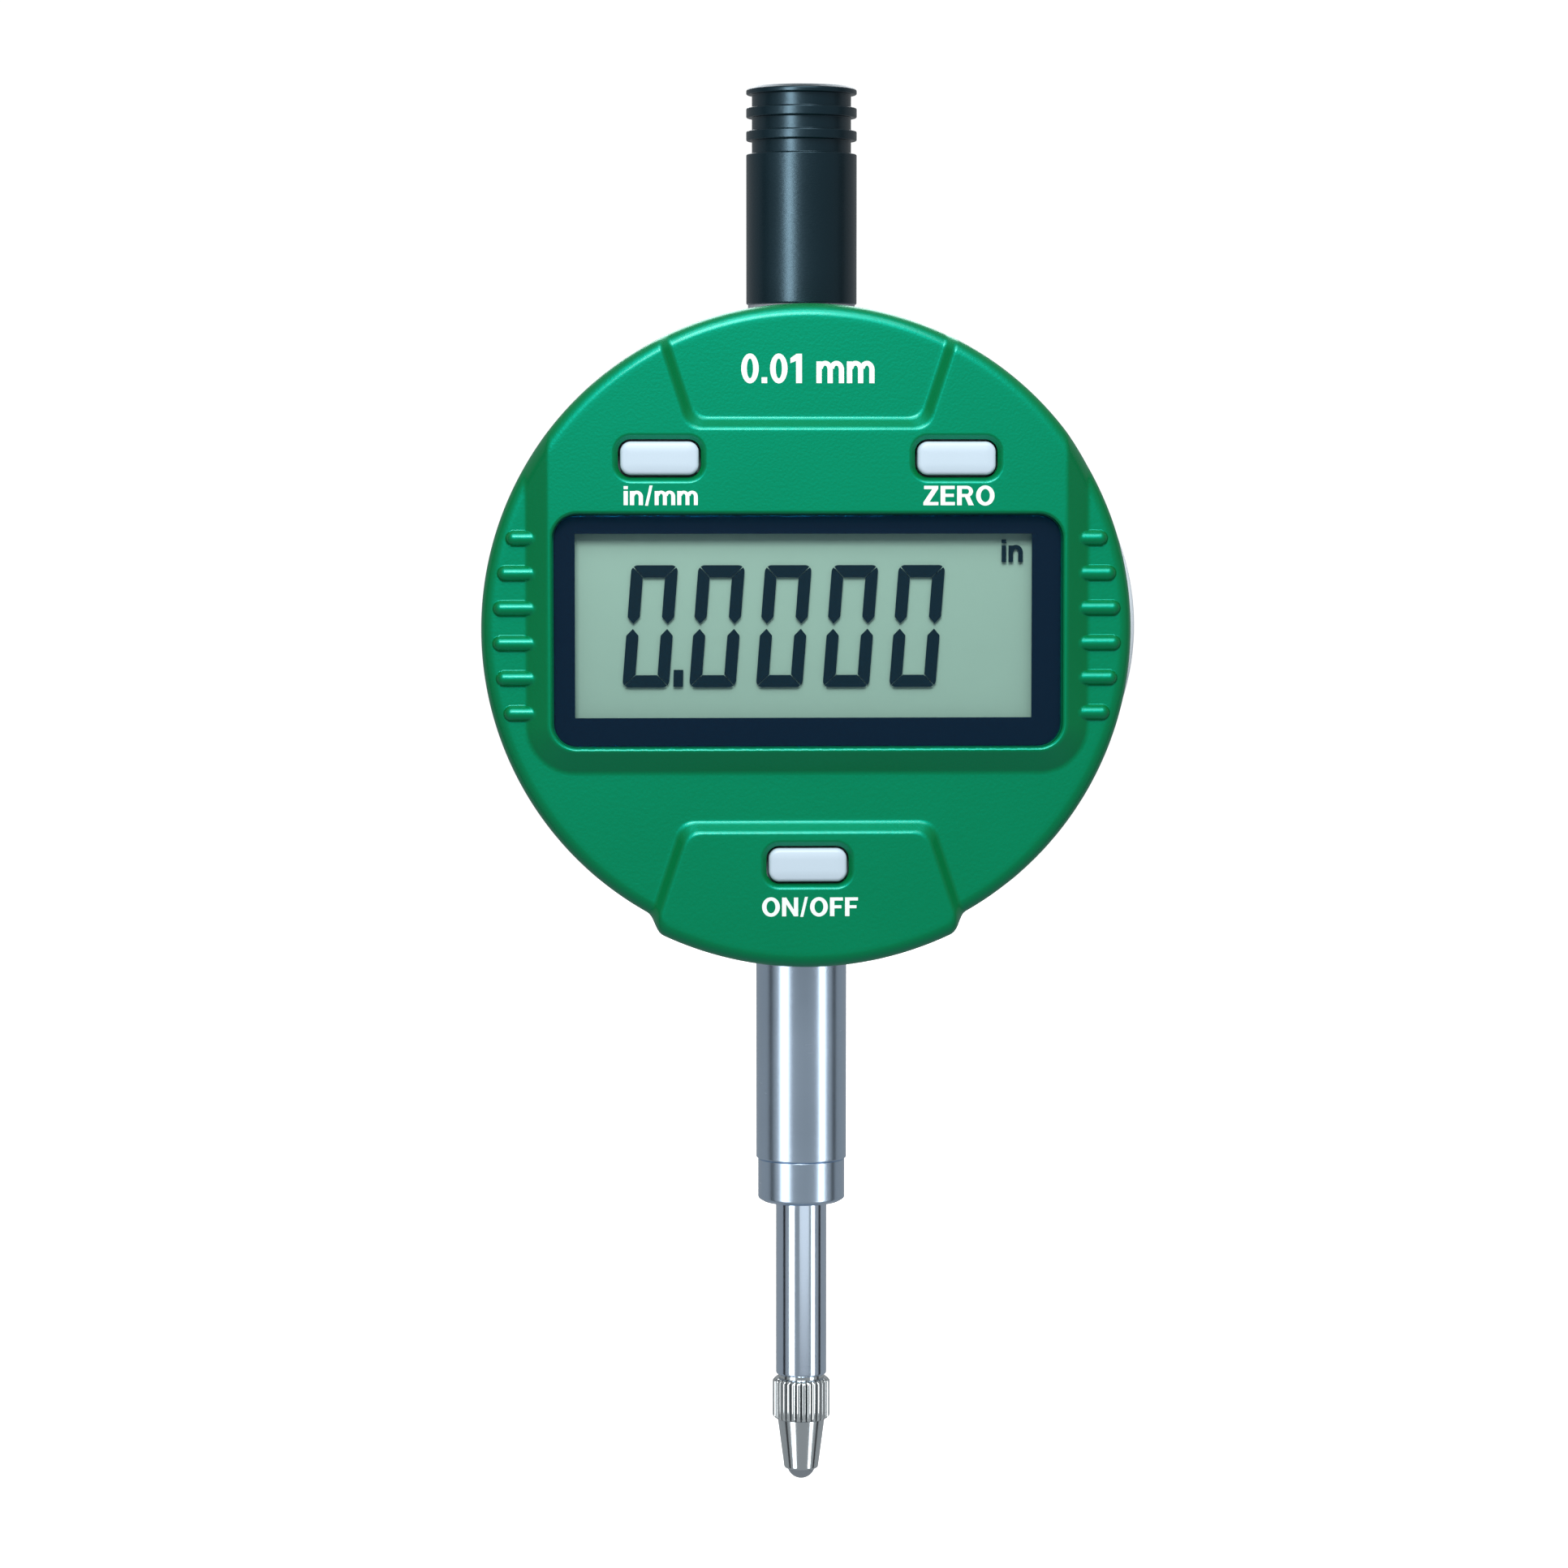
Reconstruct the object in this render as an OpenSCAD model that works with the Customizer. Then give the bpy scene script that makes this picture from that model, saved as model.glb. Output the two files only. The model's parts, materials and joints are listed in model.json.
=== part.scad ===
// Digital dial indicator, 12.7 mm of travel, 8 mm stem and lug back.
//
// Row frame: +Z up along the spindle, -Y is the side with the display. The origin is on the spindle's
// axis, at the middle of the stem's clamping length. Head parts are drawn in the face frame and placed
// by on_head(): X to the right, Y up the face, Z from the spindle's axis towards the reader.

/* [Stem and spindle] */
// Diameter of the clamping stem
stem_d = 8; // [7.5:0.5:9.5]
// Clamping length of the stem, from the case's collar to the nose bush
stem_clamp_l = 18.3; // [14:0.1:26]
// Length of the stem's shank inside the case
stem_shank_l = 9; // [8:0.5:11]
// How far the stem's shank lies inside the stem's outline
shank_step = 0.5; // [0.3:0.1:0.6]
// How far the nose bush lies inside the stem's outline
nose_step = 0.16; // [0.16:0.02:0.4]
// Length of the nose bush below the stem
nose_l = 3.9; // [2.5:0.1:6]
// Length of the nose bush's shank inside the stem
nose_shank_l = 8; // [5:0.5:12]
// Diameter of the spindle
spindle_d = 4.5; // [3.6:0.05:5.4]
// Measuring travel of the spindle
travel = 12.7; // [10:0.1:15.3]
// Spindle left in view at the top of its travel
spindle_spare = 2.9; // [1:0.1:6]
// Radial running clearance of the spindle in its bushes
run_gap = 0.02; // [0.01:0.01:0.05]

/* [Contact point] */
// Diameter over the knurl
knurl_d = 5.1; // [4.8:0.1:6.5]
// Length of the knurl
knurl_l = 3.7; // [2.5:0.1:6]
// Depth of a knurl groove
knurl_depth = 0.16; // [0.1:0.02:0.2]
// Number of knurl grooves
knurl_n = 32; // [24:2:40]
// Diameter of the cone where it leaves the knurl
cone_d = 4.2; // [3.6:0.1:4.6]
// Diameter of the cone's lower face
tip_d = 3; // [2.8:0.1:3.4]
// Length of the cone
cone_l = 4.5; // [3:0.1:7]
// Diameter of the measuring ball
ball_d = 2.5; // [2:0.1:2.7]
// How far the ball stands out of the cone
ball_proud = 0.95; // [0.7:0.05:1]
// Thread diameter that holds the contact point in the spindle
contact_thread_d = 2.5; // [2:0.1:2.6]
// Depth of that thread
contact_thread_l = 5; // [3:0.5:8]

/* [Head] */
// Diameter of the front cover
head_d = 56; // [54:0.5:68]
// Radius of the rounding round the cover's front edge
rim_r = 1.2; // [0.5:0.1:1.4]
// From the spindle's axis to the front of the raised face
face_front = 13; // [12.4:0.1:15]
// Drop from the raised face to the side grips and the lower face
low_drop = 1.4; // [0.8:0.1:1.6]
// Drop of the recessed badge panel below the raised face
badge_drop = 0.8; // [0.4:0.1:1]
// Rise of the lower button's panel above the lower face
panel_rise = 0.8; // [0.4:0.1:1.2]
// How far the lower panel reaches beyond the round head
bulge = 1.1; // [0.6:0.1:1.6]
// Width of the sloping walls at the sides of the raised face
slope_w = 1.9; // [1:0.1:2]
// Width of the sloping walls round the two panels
panel_slope_w = 0.85; // [0.5:0.05:1.2]
// From the face frame's origin to the cover's ceiling
ceiling = 10.2; // [9.8:0.1:10.4]
// Wall of the cover's skirt
skirt_wall = 1.7; // [1.2:0.1:2]
// Grip ribs on each side
rib_n = 6; // [2:1:7]
// Distance from rib to rib
rib_pitch = 3; // [2:0.05:3.2]
// Width of a rib
rib_w = 1.3; // [0.6:0.1:1.4]
// Height of the ribs' middle above the head's centre
rib_mid = 0.4; // [-1:0.1:1]

/* [Display] */
// Width of the lens
lens_w = 43.5; // [36:0.5:43.5]
// Height of the lens
lens_h = 19.8; // [16:0.2:20]
// Corner radius of the lens
lens_r = 2; // [1:0.1:3]
// Thickness of the lens
lens_t = 1; // [0.8:0.1:1.2]
// How far the lens lies below the raised face
lens_sink = 0.2; // [0.1:0.05:0.4]
// Thickness of the black mask behind the lens
mask_t = 0.2; // [0.1:0.05:0.3]
// Black border on the left, right, bottom and top of the mask
mask_border = [1.8, 2.45, 2.4, 1.6];
// Thickness of the ledge that the mask rests on
ledge_t = 0.7; // [0.5:0.1:0.8]
// Thickness of the display glass
lcd_t = 1.8; // [1.5:0.1:2]
// How far the display glass lies inside the lens's edge, all round
lcd_inset = 0.55; // [0.4:0.05:0.8]
// Wall of the holder round the display glass
holder_wall = 1.2; // [0.8:0.1:1.3]
// Width of a contact strip
strip_w = 1.6; // [1.2:0.1:2]

/* [Buttons] */
// Width of a button
button_w = 6.7; // [5:0.1:8]
// Height of a button
button_h = 2.85; // [2.4:0.05:3.5]
// Corner radius of a button
button_r = 0.9; // [0.5:0.1:1.2]
// How far a button stands out of the face around it
button_proud = 0.3; // [0.1:0.1:0.8]
// Travel of a button
button_travel = 0.35; // [0.2:0.05:0.5]
// Gap round a button
button_gap = 0.2; // [0.1:0.05:0.3]
// Chamfer round a button's hole
button_chamfer = 0.4; // [0.2:0.05:0.6]
// Sideways distance of the two upper buttons from the middle
button_x = 12.7; // [11:0.1:13.5]
// Height of the two upper buttons above the head's centre
button_up = 14.75; // [14.2:0.05:15.5]
// Depth of the lower button below the head's centre
button_down = 20.15; // [19.6:0.05:20.6]

/* [Case and back] */
// How far the metal case lies inside the cover's outline
case_inset = 0.3; // [0.1:0.1:0.6]
// Wall of the case
case_wall = 2.8; // [2.4:0.1:3.2]
// From the spindle's axis to the joint between cover and case
case_front = 5.5; // [5.3:0.1:6]
// From the spindle's axis to the case's rear face
case_back = 8; // [7:0.1:10]
// Wall of the spigot that centres the cover
spigot_l = 1.7; // [1:0.1:2.5]
// Radius of the collar round the stem
collar_r = 5; // [4.6:0.1:5.1]
// Radius of the collar round the upper bush
upper_collar_r = 4.7; // [4.4:0.1:4.8]
// How far the lower collar reaches beyond the cover's round outline
collar_drop = 1; // [0.6:0.1:1.6]
// Thickness of the back cover
back_t = 1.5; // [1.2:0.1:3]
// Thickness of the lug
lug_t = 5; // [4:0.5:8]
// Diameter of the lug's hole
lug_hole_d = 6.5; // [6:0.1:7]
// From the back cover to the middle of the lug's hole
lug_reach = 8; // [7:0.5:12]
// Radius of the lug's round end
lug_r = 6.5; // [5.5:0.1:8]

/* [Top cap] */
// Diameter of the cap
cap_d = 9.7; // [9:0.1:10]
// Length of the cap
cap_l = 19; // [18:0.5:26]
// Thickness of the cap's top
cap_top_t = 1.15; // [0.8:0.05:1.6]
// Grooves round the cap
cap_grooves = 3; // [1:1:5]
// Width of a groove
cap_groove_w = 1.15; // [0.6:0.05:1.2]
// Depth of a groove
cap_groove_depth = 0.5; // [0.2:0.05:0.6]
// Width of a ring between two grooves
cap_ring_w = 0.86; // [0.7:0.02:1.4]
// Length of the threaded neck that the cap screws on to
neck_l = 5.3; // [4:0.1:6]
// Diameter of that neck
neck_d = 6.8; // [6.4:0.1:7]

/* [Battery] */
// Diameter of the button cell
cell_d = 11.6; // [11.6:0.1:12.5]
// Thickness of the button cell
cell_t = 5.4; // [4.2:0.1:5.6]
// Wall of the drawer beside and behind the cell
tray_wall = 0.95; // [0.8:0.05:1.2]
// How far the drawer stands out of the cover's outline
drawer_proud = 1.15; // [0.8:0.05:2]
// Radius of the drawer's curved front
drawer_curve_r = 21.5; // [20:0.5:29]
// How far the drawer's front reaches past its tray, above and below
drawer_reach = 2.3; // [1:0.1:2.6]
// Travel of the drawer
drawer_travel = 16; // [14:1:20]

/* [Hidden] */
$fn = 64;
eps = 0.01;
slip = 0.15;      // clearance of a part that slides or drops into place
hair = 0.05;      // clearance of a part that is seated by hand
fine_fn = 32;     // facets of the rounded corners inside a hull

// Up the spindle, measured from the origin
shank_d = stem_d - 2 * shank_step;
nose_d = stem_d - 2 * nose_step;
head_r = head_d / 2;
drawer_r = head_r + drawer_proud;
case_r = head_r - case_inset;
inner_r = case_r - case_wall;
collar_bottom = stem_clamp_l / 2;
head_z = collar_bottom + head_r + collar_drop;
stem_bottom = -stem_clamp_l / 2;
stem_top = collar_bottom + stem_shank_l;
nose_bottom = stem_bottom - nose_l;
bush_l = 7.7;
bush_seat = head_z + case_r + 0.5;
bush_bottom = bush_seat - bush_l;
cap_top = bush_seat + cap_l;
spindle_r = spindle_d / 2;
bush_bore_r = spindle_r + run_gap;
spindle_bottom = nose_bottom - travel - spindle_spare;
cap_headroom = 0.9;
spindle_top = cap_top - cap_top_t - cap_headroom - travel;

// Carriage, spring and guide rod
stop_t = 1;
stop_gap = 0.1;
hub_w = 12;
hub_back = 3.6;
hub_l = 10;
hub_bottom = stem_top + stop_t + stop_gap;
hub_top = hub_bottom + hub_l;
wire_d = 0.35;
spring_gap = 0.2;
spring_r = spindle_r + spring_gap + wire_d / 2;
spring_turns = 12;
spring_steps = 18;
spring_sides = 6;
plate_back = spring_r + wire_d / 2 + 0.3;
plate_t = 1;
plate_w = 9.6;
plate_top = bush_bottom - travel - 0.7;
scale_t = 0.8;
scale_w = 9;
scale_front = plate_back + plate_t + scale_t;
rod_r = 1;
rod_x = -10;
rod_seat = 2;
arm_w = 5;
arm_back = 2;
clamp_screw_r = 1;
clamp_z = hub_bottom + 7.5;

// From the spindle's axis towards the reader
reader_gap = 0.25;
reader_t = 0.1;
board_back = scale_front + reader_gap + reader_t;
board_t = 1;
board_front = board_back + board_t;
low_front = face_front - low_drop;
badge_front = face_front - badge_drop;
panel_front = low_front + panel_rise;
lens_front = face_front - lens_sink;
mask_front = lens_front - lens_t;
ledge_front = mask_front - mask_t;
ledge_back = ledge_front - ledge_t;
lcd_front = ledge_back - 0.1;
lcd_back = lcd_front - lcd_t;
skirt_r = head_r - skirt_wall;
lcd_w = lens_w - 2 * lcd_inset;
lcd_h = lens_h - 2 * lcd_inset - 0.2;
holder_w = lcd_w + 2 * (holder_wall + hair);
holder_h = lcd_h + 2 * (holder_wall + hair);

// Outline of the raised face: half width and lower edge, just outside the lens
lip = 0.35;
raised_x = lens_w / 2 + slip + lip;
raised_y = -lens_h / 2 - slip - lip + 0.1;

// Places of the screws on the face. A cover screw stands beside an upper button's flange, against the case's wall.
flange_t = 0.6;
flange_rim = 0.65;
cover_boss_r = 1.9;
board_boss_r = 1.6;
boss_gap = 0.6;
cover_screw_in = 0.84;
cover_screw_x = button_x + button_w / 2 + flange_rim + boss_gap + cover_boss_r;
cover_screw = [cover_screw_x, sqrt(pow(inner_r - cover_screw_in, 2) - pow(cover_screw_x, 2))];
back_screw = [9.5, case_r - 5.7];
upper_board_screw = [6.6, lens_h / 2 + 2.7];
lower_board_screw = [14.8, lens_h / 2 + 2.7];
post_front = board_back - 0.1;

// Buttons, each as [x, y, front of the face around it]
flange_front = ceiling - 0.15;
switch_t = 1.6;
switch_w = 4.4;
plunger_r = 0.85;
plunger_proud = 0.5;
plunger_deep = 0.8;
plunger_front = board_front + switch_t + plunger_proud;
in_mm_place = [-button_x, button_up, face_front];
zero_place = [button_x, button_up, face_front];
on_off_place = [0, -button_down, panel_front];
button_places = [in_mm_place, zero_place, on_off_place];

// Battery drawer, in the face frame
cell_r = cell_d / 2;
drawer_inner_x = drawer_r - 3;
cell_x = drawer_inner_x - slip - cell_r;
cell_back = -3;
tray_back = cell_back - tray_wall;
tray_front = cell_back + cell_t + 0.6;
tray_half = cell_r + slip + tray_wall;
drawer_half = tray_half + drawer_reach;
drawer_front = tray_front + 0.5;
drawer_back = tray_back - 0.5;
tray_inner_x = cell_x - cell_r - 0.1;

// ---- Helpers

module on_head() {
    translate([0, 0, head_z]) rotate([90, 0, 0]) children();
}

// Extrudes a face-frame outline from one depth to another
module slab(from, to) {
    translate([0, 0, from]) linear_extrude(to - from) children();
}

module rounded_rect(w, h, r) {
    square([w - 2 * r, h], center = true);
    square([w, h - 2 * r], center = true);
    for (x = [-1, 1], y = [-1, 1])
        translate([x * (w / 2 - r), y * (h / 2 - r)]) circle(r);
}

// A post or hole at each of the four corners [+-x, +-y]
module four_corners(at) {
    for (x = [-1, 1], y = [-1, 1]) translate([x * at[0], y * at[1]]) children();
}

module board_screw_places() {
    for (x = [-1, 1]) {
        translate([x * upper_board_screw[0], upper_board_screw[1]]) children();
        translate([x * lower_board_screw[0], -lower_board_screw[1]]) children();
    }
}

// A tube or rod along the spindle's axis
module rod(r, from, to, bore = 0) {
    translate([0, 0, from]) difference() {
        cylinder(r = r, h = to - from);
        if (bore > 0) translate([0, 0, -eps]) cylinder(r = bore, h = to - from + 2 * eps);
    }
}

// ---- Front cover

// A round face at one depth, with its front edge rounded over
module round_face(r, front) {
    rotate_extrude() polygon(concat(
        [[0, case_front], [r, case_front]],
        [for (a = [90:-15:0]) [r - rim_r + rim_r * sin(a), front - rim_r + rim_r * cos(a)]],
        [[0, front]]
    ));
}

// A sloping-sided block: corners [x, y, radius] at the top outline and at the foot
module sloped_block(top, foot, top_at, foot_at, down_to) {
    hull() {
        for (c = top) translate([c[0], c[1], top_at - eps]) cylinder(r = c[2], h = eps, $fn = fine_fn);
        for (c = foot) translate([c[0], c[1], down_to]) cylinder(r = c[2], h = foot_at - down_to, $fn = fine_fn);
    }
}

module raised_block() {
    top_r = 2.3;
    foot_r = top_r + slope_w;
    reach = head_r + 4;
    x = raised_x - top_r;
    y = raised_y + top_r;
    corners = [[-x, y], [x, y], [x, reach], [-x, reach]];
    sloped_block([for (c = corners) [c[0], c[1], top_r]], [for (c = corners) [c[0], c[1], foot_r]],
        face_front, low_front, ceiling - 1);
}

badge_y = head_r - 10.7;
badge_x = 10.3;
badge_lean = 0.33;

// The recess for the badge: narrow below, wider towards the rim
module badge_cut() {
    reach = 14;
    r = 0.9;
    x = badge_x - r;
    wide = badge_x - r + reach * badge_lean;
    above = face_front + 1;
    grow = (above - badge_front) / badge_drop * panel_slope_w;
    corners = [[-x, badge_y + r], [x, badge_y + r], [wide, badge_y + reach], [-wide, badge_y + reach]];
    hull() {
        for (c = corners) {
            translate([c[0] - sign(c[0]) * panel_slope_w, c[1] + panel_slope_w, badge_front])
                cylinder(r = r, h = eps, $fn = fine_fn);
            translate([c[0] + sign(c[0]) * (grow - panel_slope_w), c[1] + panel_slope_w - grow, above])
                cylinder(r = r, h = eps, $fn = fine_fn);
        }
    }
}

// The lower button's panel, which reaches beyond the round head
module lower_panel() {
    top_y = -head_r + 11.5;
    lean = 0.335;
    top_x = 10.85;
    corner_y = -head_r + 3.25;
    corner_x = top_x + (top_y - corner_y) * lean;
    foot_r = 0.6;
    inner_r2 = 0.6;
    foot = [for (s = [-1, 1]) each [
        [s * (top_x - foot_r), top_y - foot_r, foot_r],
        [s * (corner_x - foot_r), corner_y, foot_r],
        [s * (corner_x - 3.4), -head_r - bulge - 0.5, foot_r]
    ]];
    top = [for (s = [-1, 1]) each [
        [s * (top_x - panel_slope_w - inner_r2), top_y - panel_slope_w - inner_r2, inner_r2],
        [s * (corner_x - panel_slope_w - inner_r2), corner_y, inner_r2],
        [s * (corner_x - 3.4 - panel_slope_w), -head_r - bulge - 0.5, inner_r2]
    ]];
    intersection() {
        round_face(head_r + bulge, panel_front);
        sloped_block(top, foot, panel_front, low_front, case_front);
    }
}

// Half-round ribs that start on the slope and end short of the rim
module grip_ribs() {
    r = rib_w / 2;
    start = raised_x + slope_w * 0.63;
    for (s = [-1, 1], i = [0:rib_n - 1]) {
        y = rib_mid + (i - (rib_n - 1) / 2) * rib_pitch;
        straight = sqrt(pow(head_r - 1, 2) - y * y) - r - start;
        translate([s * start, y, low_front - 0.1]) rotate([0, s * 90, 0]) rotate_extrude()
            polygon(concat([[0, 0], [r, 0]], [for (a = [0:18:90]) [r * cos(a), straight + r * sin(a)]]));
    }
}

module button_hole(place) {
    translate([place[0], place[1]]) {
        slab(flange_front - flange_t - 3, place[2] + 1)
            rounded_rect(button_w + 2 * button_gap, button_h + 2 * button_gap, button_r + button_gap);
        hull() {
            slab(place[2] - button_chamfer, place[2] - button_chamfer + eps)
                rounded_rect(button_w + 2 * button_gap, button_h + 2 * button_gap, button_r + button_gap, $fn = fine_fn);
            slab(place[2] + button_chamfer, place[2] + button_chamfer + eps) rounded_rect(
                button_w + 2 * (button_gap + 2 * button_chamfer), button_h + 2 * (button_gap + 2 * button_chamfer),
                button_r + button_gap + 2 * button_chamfer, $fn = fine_fn);
        }
    }
}

module front_cover() {
    color("seagreen") on_head() difference() {
        union() {
            difference() {
                union() {
                    round_face(head_r, low_front);
                    intersection() {
                        round_face(head_r, face_front);
                        raised_block();
                    }
                    grip_ribs();
                }
                badge_cut();
                cavity();
            }
            lower_panel();
            bosses();
        }
        skirt_space();
        window_cuts();
        for (p = button_places) button_hole(p);
        screw_pilots();
    }
}

module cavity() {
    slab(case_front - 1, ceiling) circle(skirt_r);
}

// Keeps the lower panel's block out of the cavity, apart from its front wall
module skirt_space() {
    difference() {
        slab(case_front - 1, ceiling) circle(skirt_r);
        bosses();
    }
}

module bosses() {
    slab(board_front, ceiling + 0.2) board_screw_places() circle(board_boss_r);
    slab(post_front, ceiling + 0.2) intersection() {
        four_corners(cover_screw) circle(cover_boss_r);
        circle(skirt_r + 0.5);
    }
}

module window_cuts() {
    slab(ledge_front, face_front + 1) rounded_rect(lens_w + 2 * slip, lens_h + 2 * slip, lens_r + slip);
    slab(ledge_back - 1, ledge_front + 1) square([lcd_w - 1.6, lcd_h - 1.2], center = true);
    slab(ceiling - 1, ledge_back) square([holder_w + 2 * hair, holder_h + 2 * hair], center = true);
}

module screw_pilots() {
    slab(board_front - 1, board_front + 3) board_screw_places() circle(0.8);
    slab(post_front - 1, ceiling - 0.8) four_corners(cover_screw) circle(1);
}

// ---- Display

module lens() {
    color([0.8, 0.9, 0.9, 0.35]) on_head() slab(mask_front, lens_front) rounded_rect(lens_w, lens_h, lens_r);
}

module lens_mask() {
    b = mask_border;
    color("black") on_head() difference() {
        slab(ledge_front, mask_front) rounded_rect(lens_w, lens_h, lens_r);
        slab(ledge_front - 1, mask_front + 1) translate([b[0] - lens_w / 2, b[2] - lens_h / 2])
            square([lens_w - b[0] - b[1], lens_h - b[2] - b[3]]);
    }
}

module lcd_glass() {
    color("darkseagreen") on_head() slab(lcd_back, lcd_front) square([lcd_w, lcd_h], center = true);
}

module strip_pair(grow = 0) {
    for (s = [-1, 1]) translate([0, s * (lcd_h / 2 - strip_w / 2 - 0.2)])
        square([lcd_w - 4 + 2 * grow, strip_w + 2 * grow], center = true);
}

// Frame round the display glass, with a shelf behind it and slots for the contact strips
module lcd_holder() {
    color("dimgray") on_head() difference() {
        slab(board_front, lcd_front) square([holder_w, holder_h], center = true);
        slab(lcd_back, lcd_front + 1) square([lcd_w + 2 * hair, lcd_h + 2 * hair], center = true);
        slab(board_front - 1, lcd_back + 1) strip_pair(0.05);
        slab(board_front - 1, lcd_back - 0.8) square([lcd_w - 4, lcd_h - 2 * strip_w - 3], center = true);
    }
}

module contact_strips() {
    color("lightpink") on_head() slab(board_front, lcd_back) strip_pair();
}

// ---- Circuit board

module main_board() {
    board_r = inner_r - 0.3;
    color("darkgreen") on_head() difference() {
        slab(board_back, board_front) circle(board_r);
        slab(board_back - 1, board_front + 1) four_corners(cover_screw) circle(cover_boss_r + slip);
        slab(board_back - 1, board_front + 1) board_screw_places() circle(1.1);
    }
}

// Row of copper pads that reads the scale as it passes
module reader_pads() {
    pads = 12;
    pitch = 1.1;
    color("goldenrod") on_head() for (i = [0:pads - 1])
        translate([0, (i - (pads - 1) / 2) * pitch]) slab(board_back - reader_t, board_back)
            square([scale_w - 1.5, 0.7], center = true);
}

module board_components() {
    h = 1.1;
    color("dimgray") on_head() {
        translate([-14, 5, board_back - h]) cylinder(r1 = 2.8, r2 = 3.8, h = h);
        translate([-15.5, -5, board_back - h]) cube([4.4, 6, h]);
        for (x = [9, 11, 13]) translate([x, 11.5, board_back - 0.8]) cube([0.9, 1.6, 0.8]);
        for (x = [-9, -11, -13]) translate([x, 13, board_back - 0.8]) cube([0.9, 1.6, 0.8]);
        translate([8, -14.5, board_back - h]) cube([2, 6, h]);
    }
}

module switch_bodies() {
    color("gray") on_head() for (p = button_places) translate([p[0], p[1]]) difference() {
        slab(board_front, board_front + switch_t) square([switch_w, switch_w], center = true);
        slab(board_front + switch_t - plunger_deep - button_travel - 0.05, board_front + switch_t + 1)
            circle(plunger_r + hair);
    }
}

module plunger(place) {
    color("dimgray") on_head() translate([place[0], place[1]])
        slab(board_front + switch_t - plunger_deep, plunger_front) circle(plunger_r);
}

module button(place) {
    front = place[2] + button_proud;
    bevel = 0.25;
    color("gainsboro") on_head() translate([place[0], place[1]]) {
        slab(flange_front, front - bevel) rounded_rect(button_w, button_h, button_r);
        hull() {
            slab(front - bevel - eps, front - bevel) rounded_rect(button_w, button_h, button_r, $fn = fine_fn);
            slab(front - eps, front)
                rounded_rect(button_w - 2 * bevel, button_h - 2 * bevel, button_r - bevel, $fn = fine_fn);
        }
        slab(flange_front - flange_t, flange_front)
            square([button_w + 2 * flange_rim, button_h + 2 * flange_rim], center = true);
        slab(plunger_front, flange_front - flange_t) circle(1.2);
    }
}

// Two leaf springs: one on the cell's front face and one on its rim
module battery_contacts() {
    leaf_t = 0.25;
    leaf_w = 3;
    cell_front = cell_back + cell_t;
    color("gold") on_head() {
        translate([cell_x - 3, 0, 0]) slab(board_back - leaf_t, board_back) square([3, leaf_w], center = true);
        translate([cell_x - 1.75, 0, 0]) slab(cell_front + hair, board_back - leaf_t + eps)
            square([leaf_t, leaf_w], center = true);
        translate([cell_x, 0, 0]) slab(cell_front + hair, cell_front + hair + leaf_t)
            square([3.7, leaf_w], center = true);
        translate([cell_x - cell_r - hair - leaf_t, -leaf_w / 2, cell_back + 1.5])
            cube([leaf_t, leaf_w, board_back - cell_back - 1.5]);
    }
}

// A pan-head screw with a cross recess, head down at the origin and its shank along +Z
module pan_screw(shank_r, shank_l, head_r0, head_t) {
    difference() {
        union() {
            translate([0, 0, -head_t]) cylinder(r1 = head_r0 * 0.75, r2 = head_r0, h = head_t * 0.45);
            translate([0, 0, -head_t * 0.55]) cylinder(r = head_r0, h = head_t * 0.55);
            cylinder(r = shank_r, h = shank_l);
        }
        for (a = [0, 90]) translate([0, 0, -head_t]) rotate([0, 0, a])
            cube([head_r0 * 1.1, head_r0 * 0.22, head_t * 0.9], center = true);
    }
}

module board_screws() {
    color("silver") on_head() translate([0, 0, board_back]) board_screw_places() pan_screw(0.8, 3.6, 1.5, 1.1);
}

// ---- Case

screw_sink = 1.6;
screw_post_r = 2.8;
bay_wall = 1.1;

module case() {
    color("silver") difference() {
        union() {
            difference() {
                on_head() {
                    slab(-case_back, case_front) circle(case_r);
                    slab(case_front - eps, case_front + spigot_l) circle(skirt_r - slip);
                }
                on_head() slab(-case_back - 1, case_front + spigot_l + 1) circle(inner_r);
            }
            on_head() case_posts();
            on_head() battery_bay();
            rod_blocks();
            rod(collar_r, collar_bottom, stem_top);
            rod(upper_collar_r, bush_bottom, bush_seat);
        }
        rod(shank_d / 2, collar_bottom - 1, stem_top + 1);
        rod(shank_d / 2, bush_bottom - 1, bush_seat + 1);
        translate([rod_x, 0]) rod(rod_r, stem_top - rod_seat, bush_bottom + rod_seat);
        set_screw_hole();
        on_head() case_holes();
        on_head() drawer_cut();
    }
}

module case_posts() {
    intersection() {
        union() {
            slab(-case_back, post_front) four_corners(cover_screw) circle(screw_post_r);
            slab(-case_back, -2) four_corners(back_screw) circle(2.2);
        }
        slab(-case_back, case_front) circle(case_r - 1);
    }
}

module case_holes() {
    slab(-case_back - 1, post_front + 1) four_corners(cover_screw) circle(1.15);
    slab(-case_back - 1, -case_back + screw_sink) four_corners(cover_screw) circle(cover_boss_r + slip);
    slab(-case_back - 1, -case_back + 4.5) four_corners(back_screw) circle(0.85);
    slab(post_front, case_front + spigot_l + 1) four_corners(cover_screw) circle(cover_boss_r + slip);
}

// Blocks beside the two collars that hold the ends of the guide rod
module rod_blocks() {
    half = 2.5;
    deep = 3.5;
    translate([rod_x - half, -half, stem_top - deep]) cube([half - rod_x - 4, 2 * half, deep]);
    translate([rod_x - half, -half, bush_bottom]) cube([half - rod_x - 4, 2 * half, deep]);
}

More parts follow.
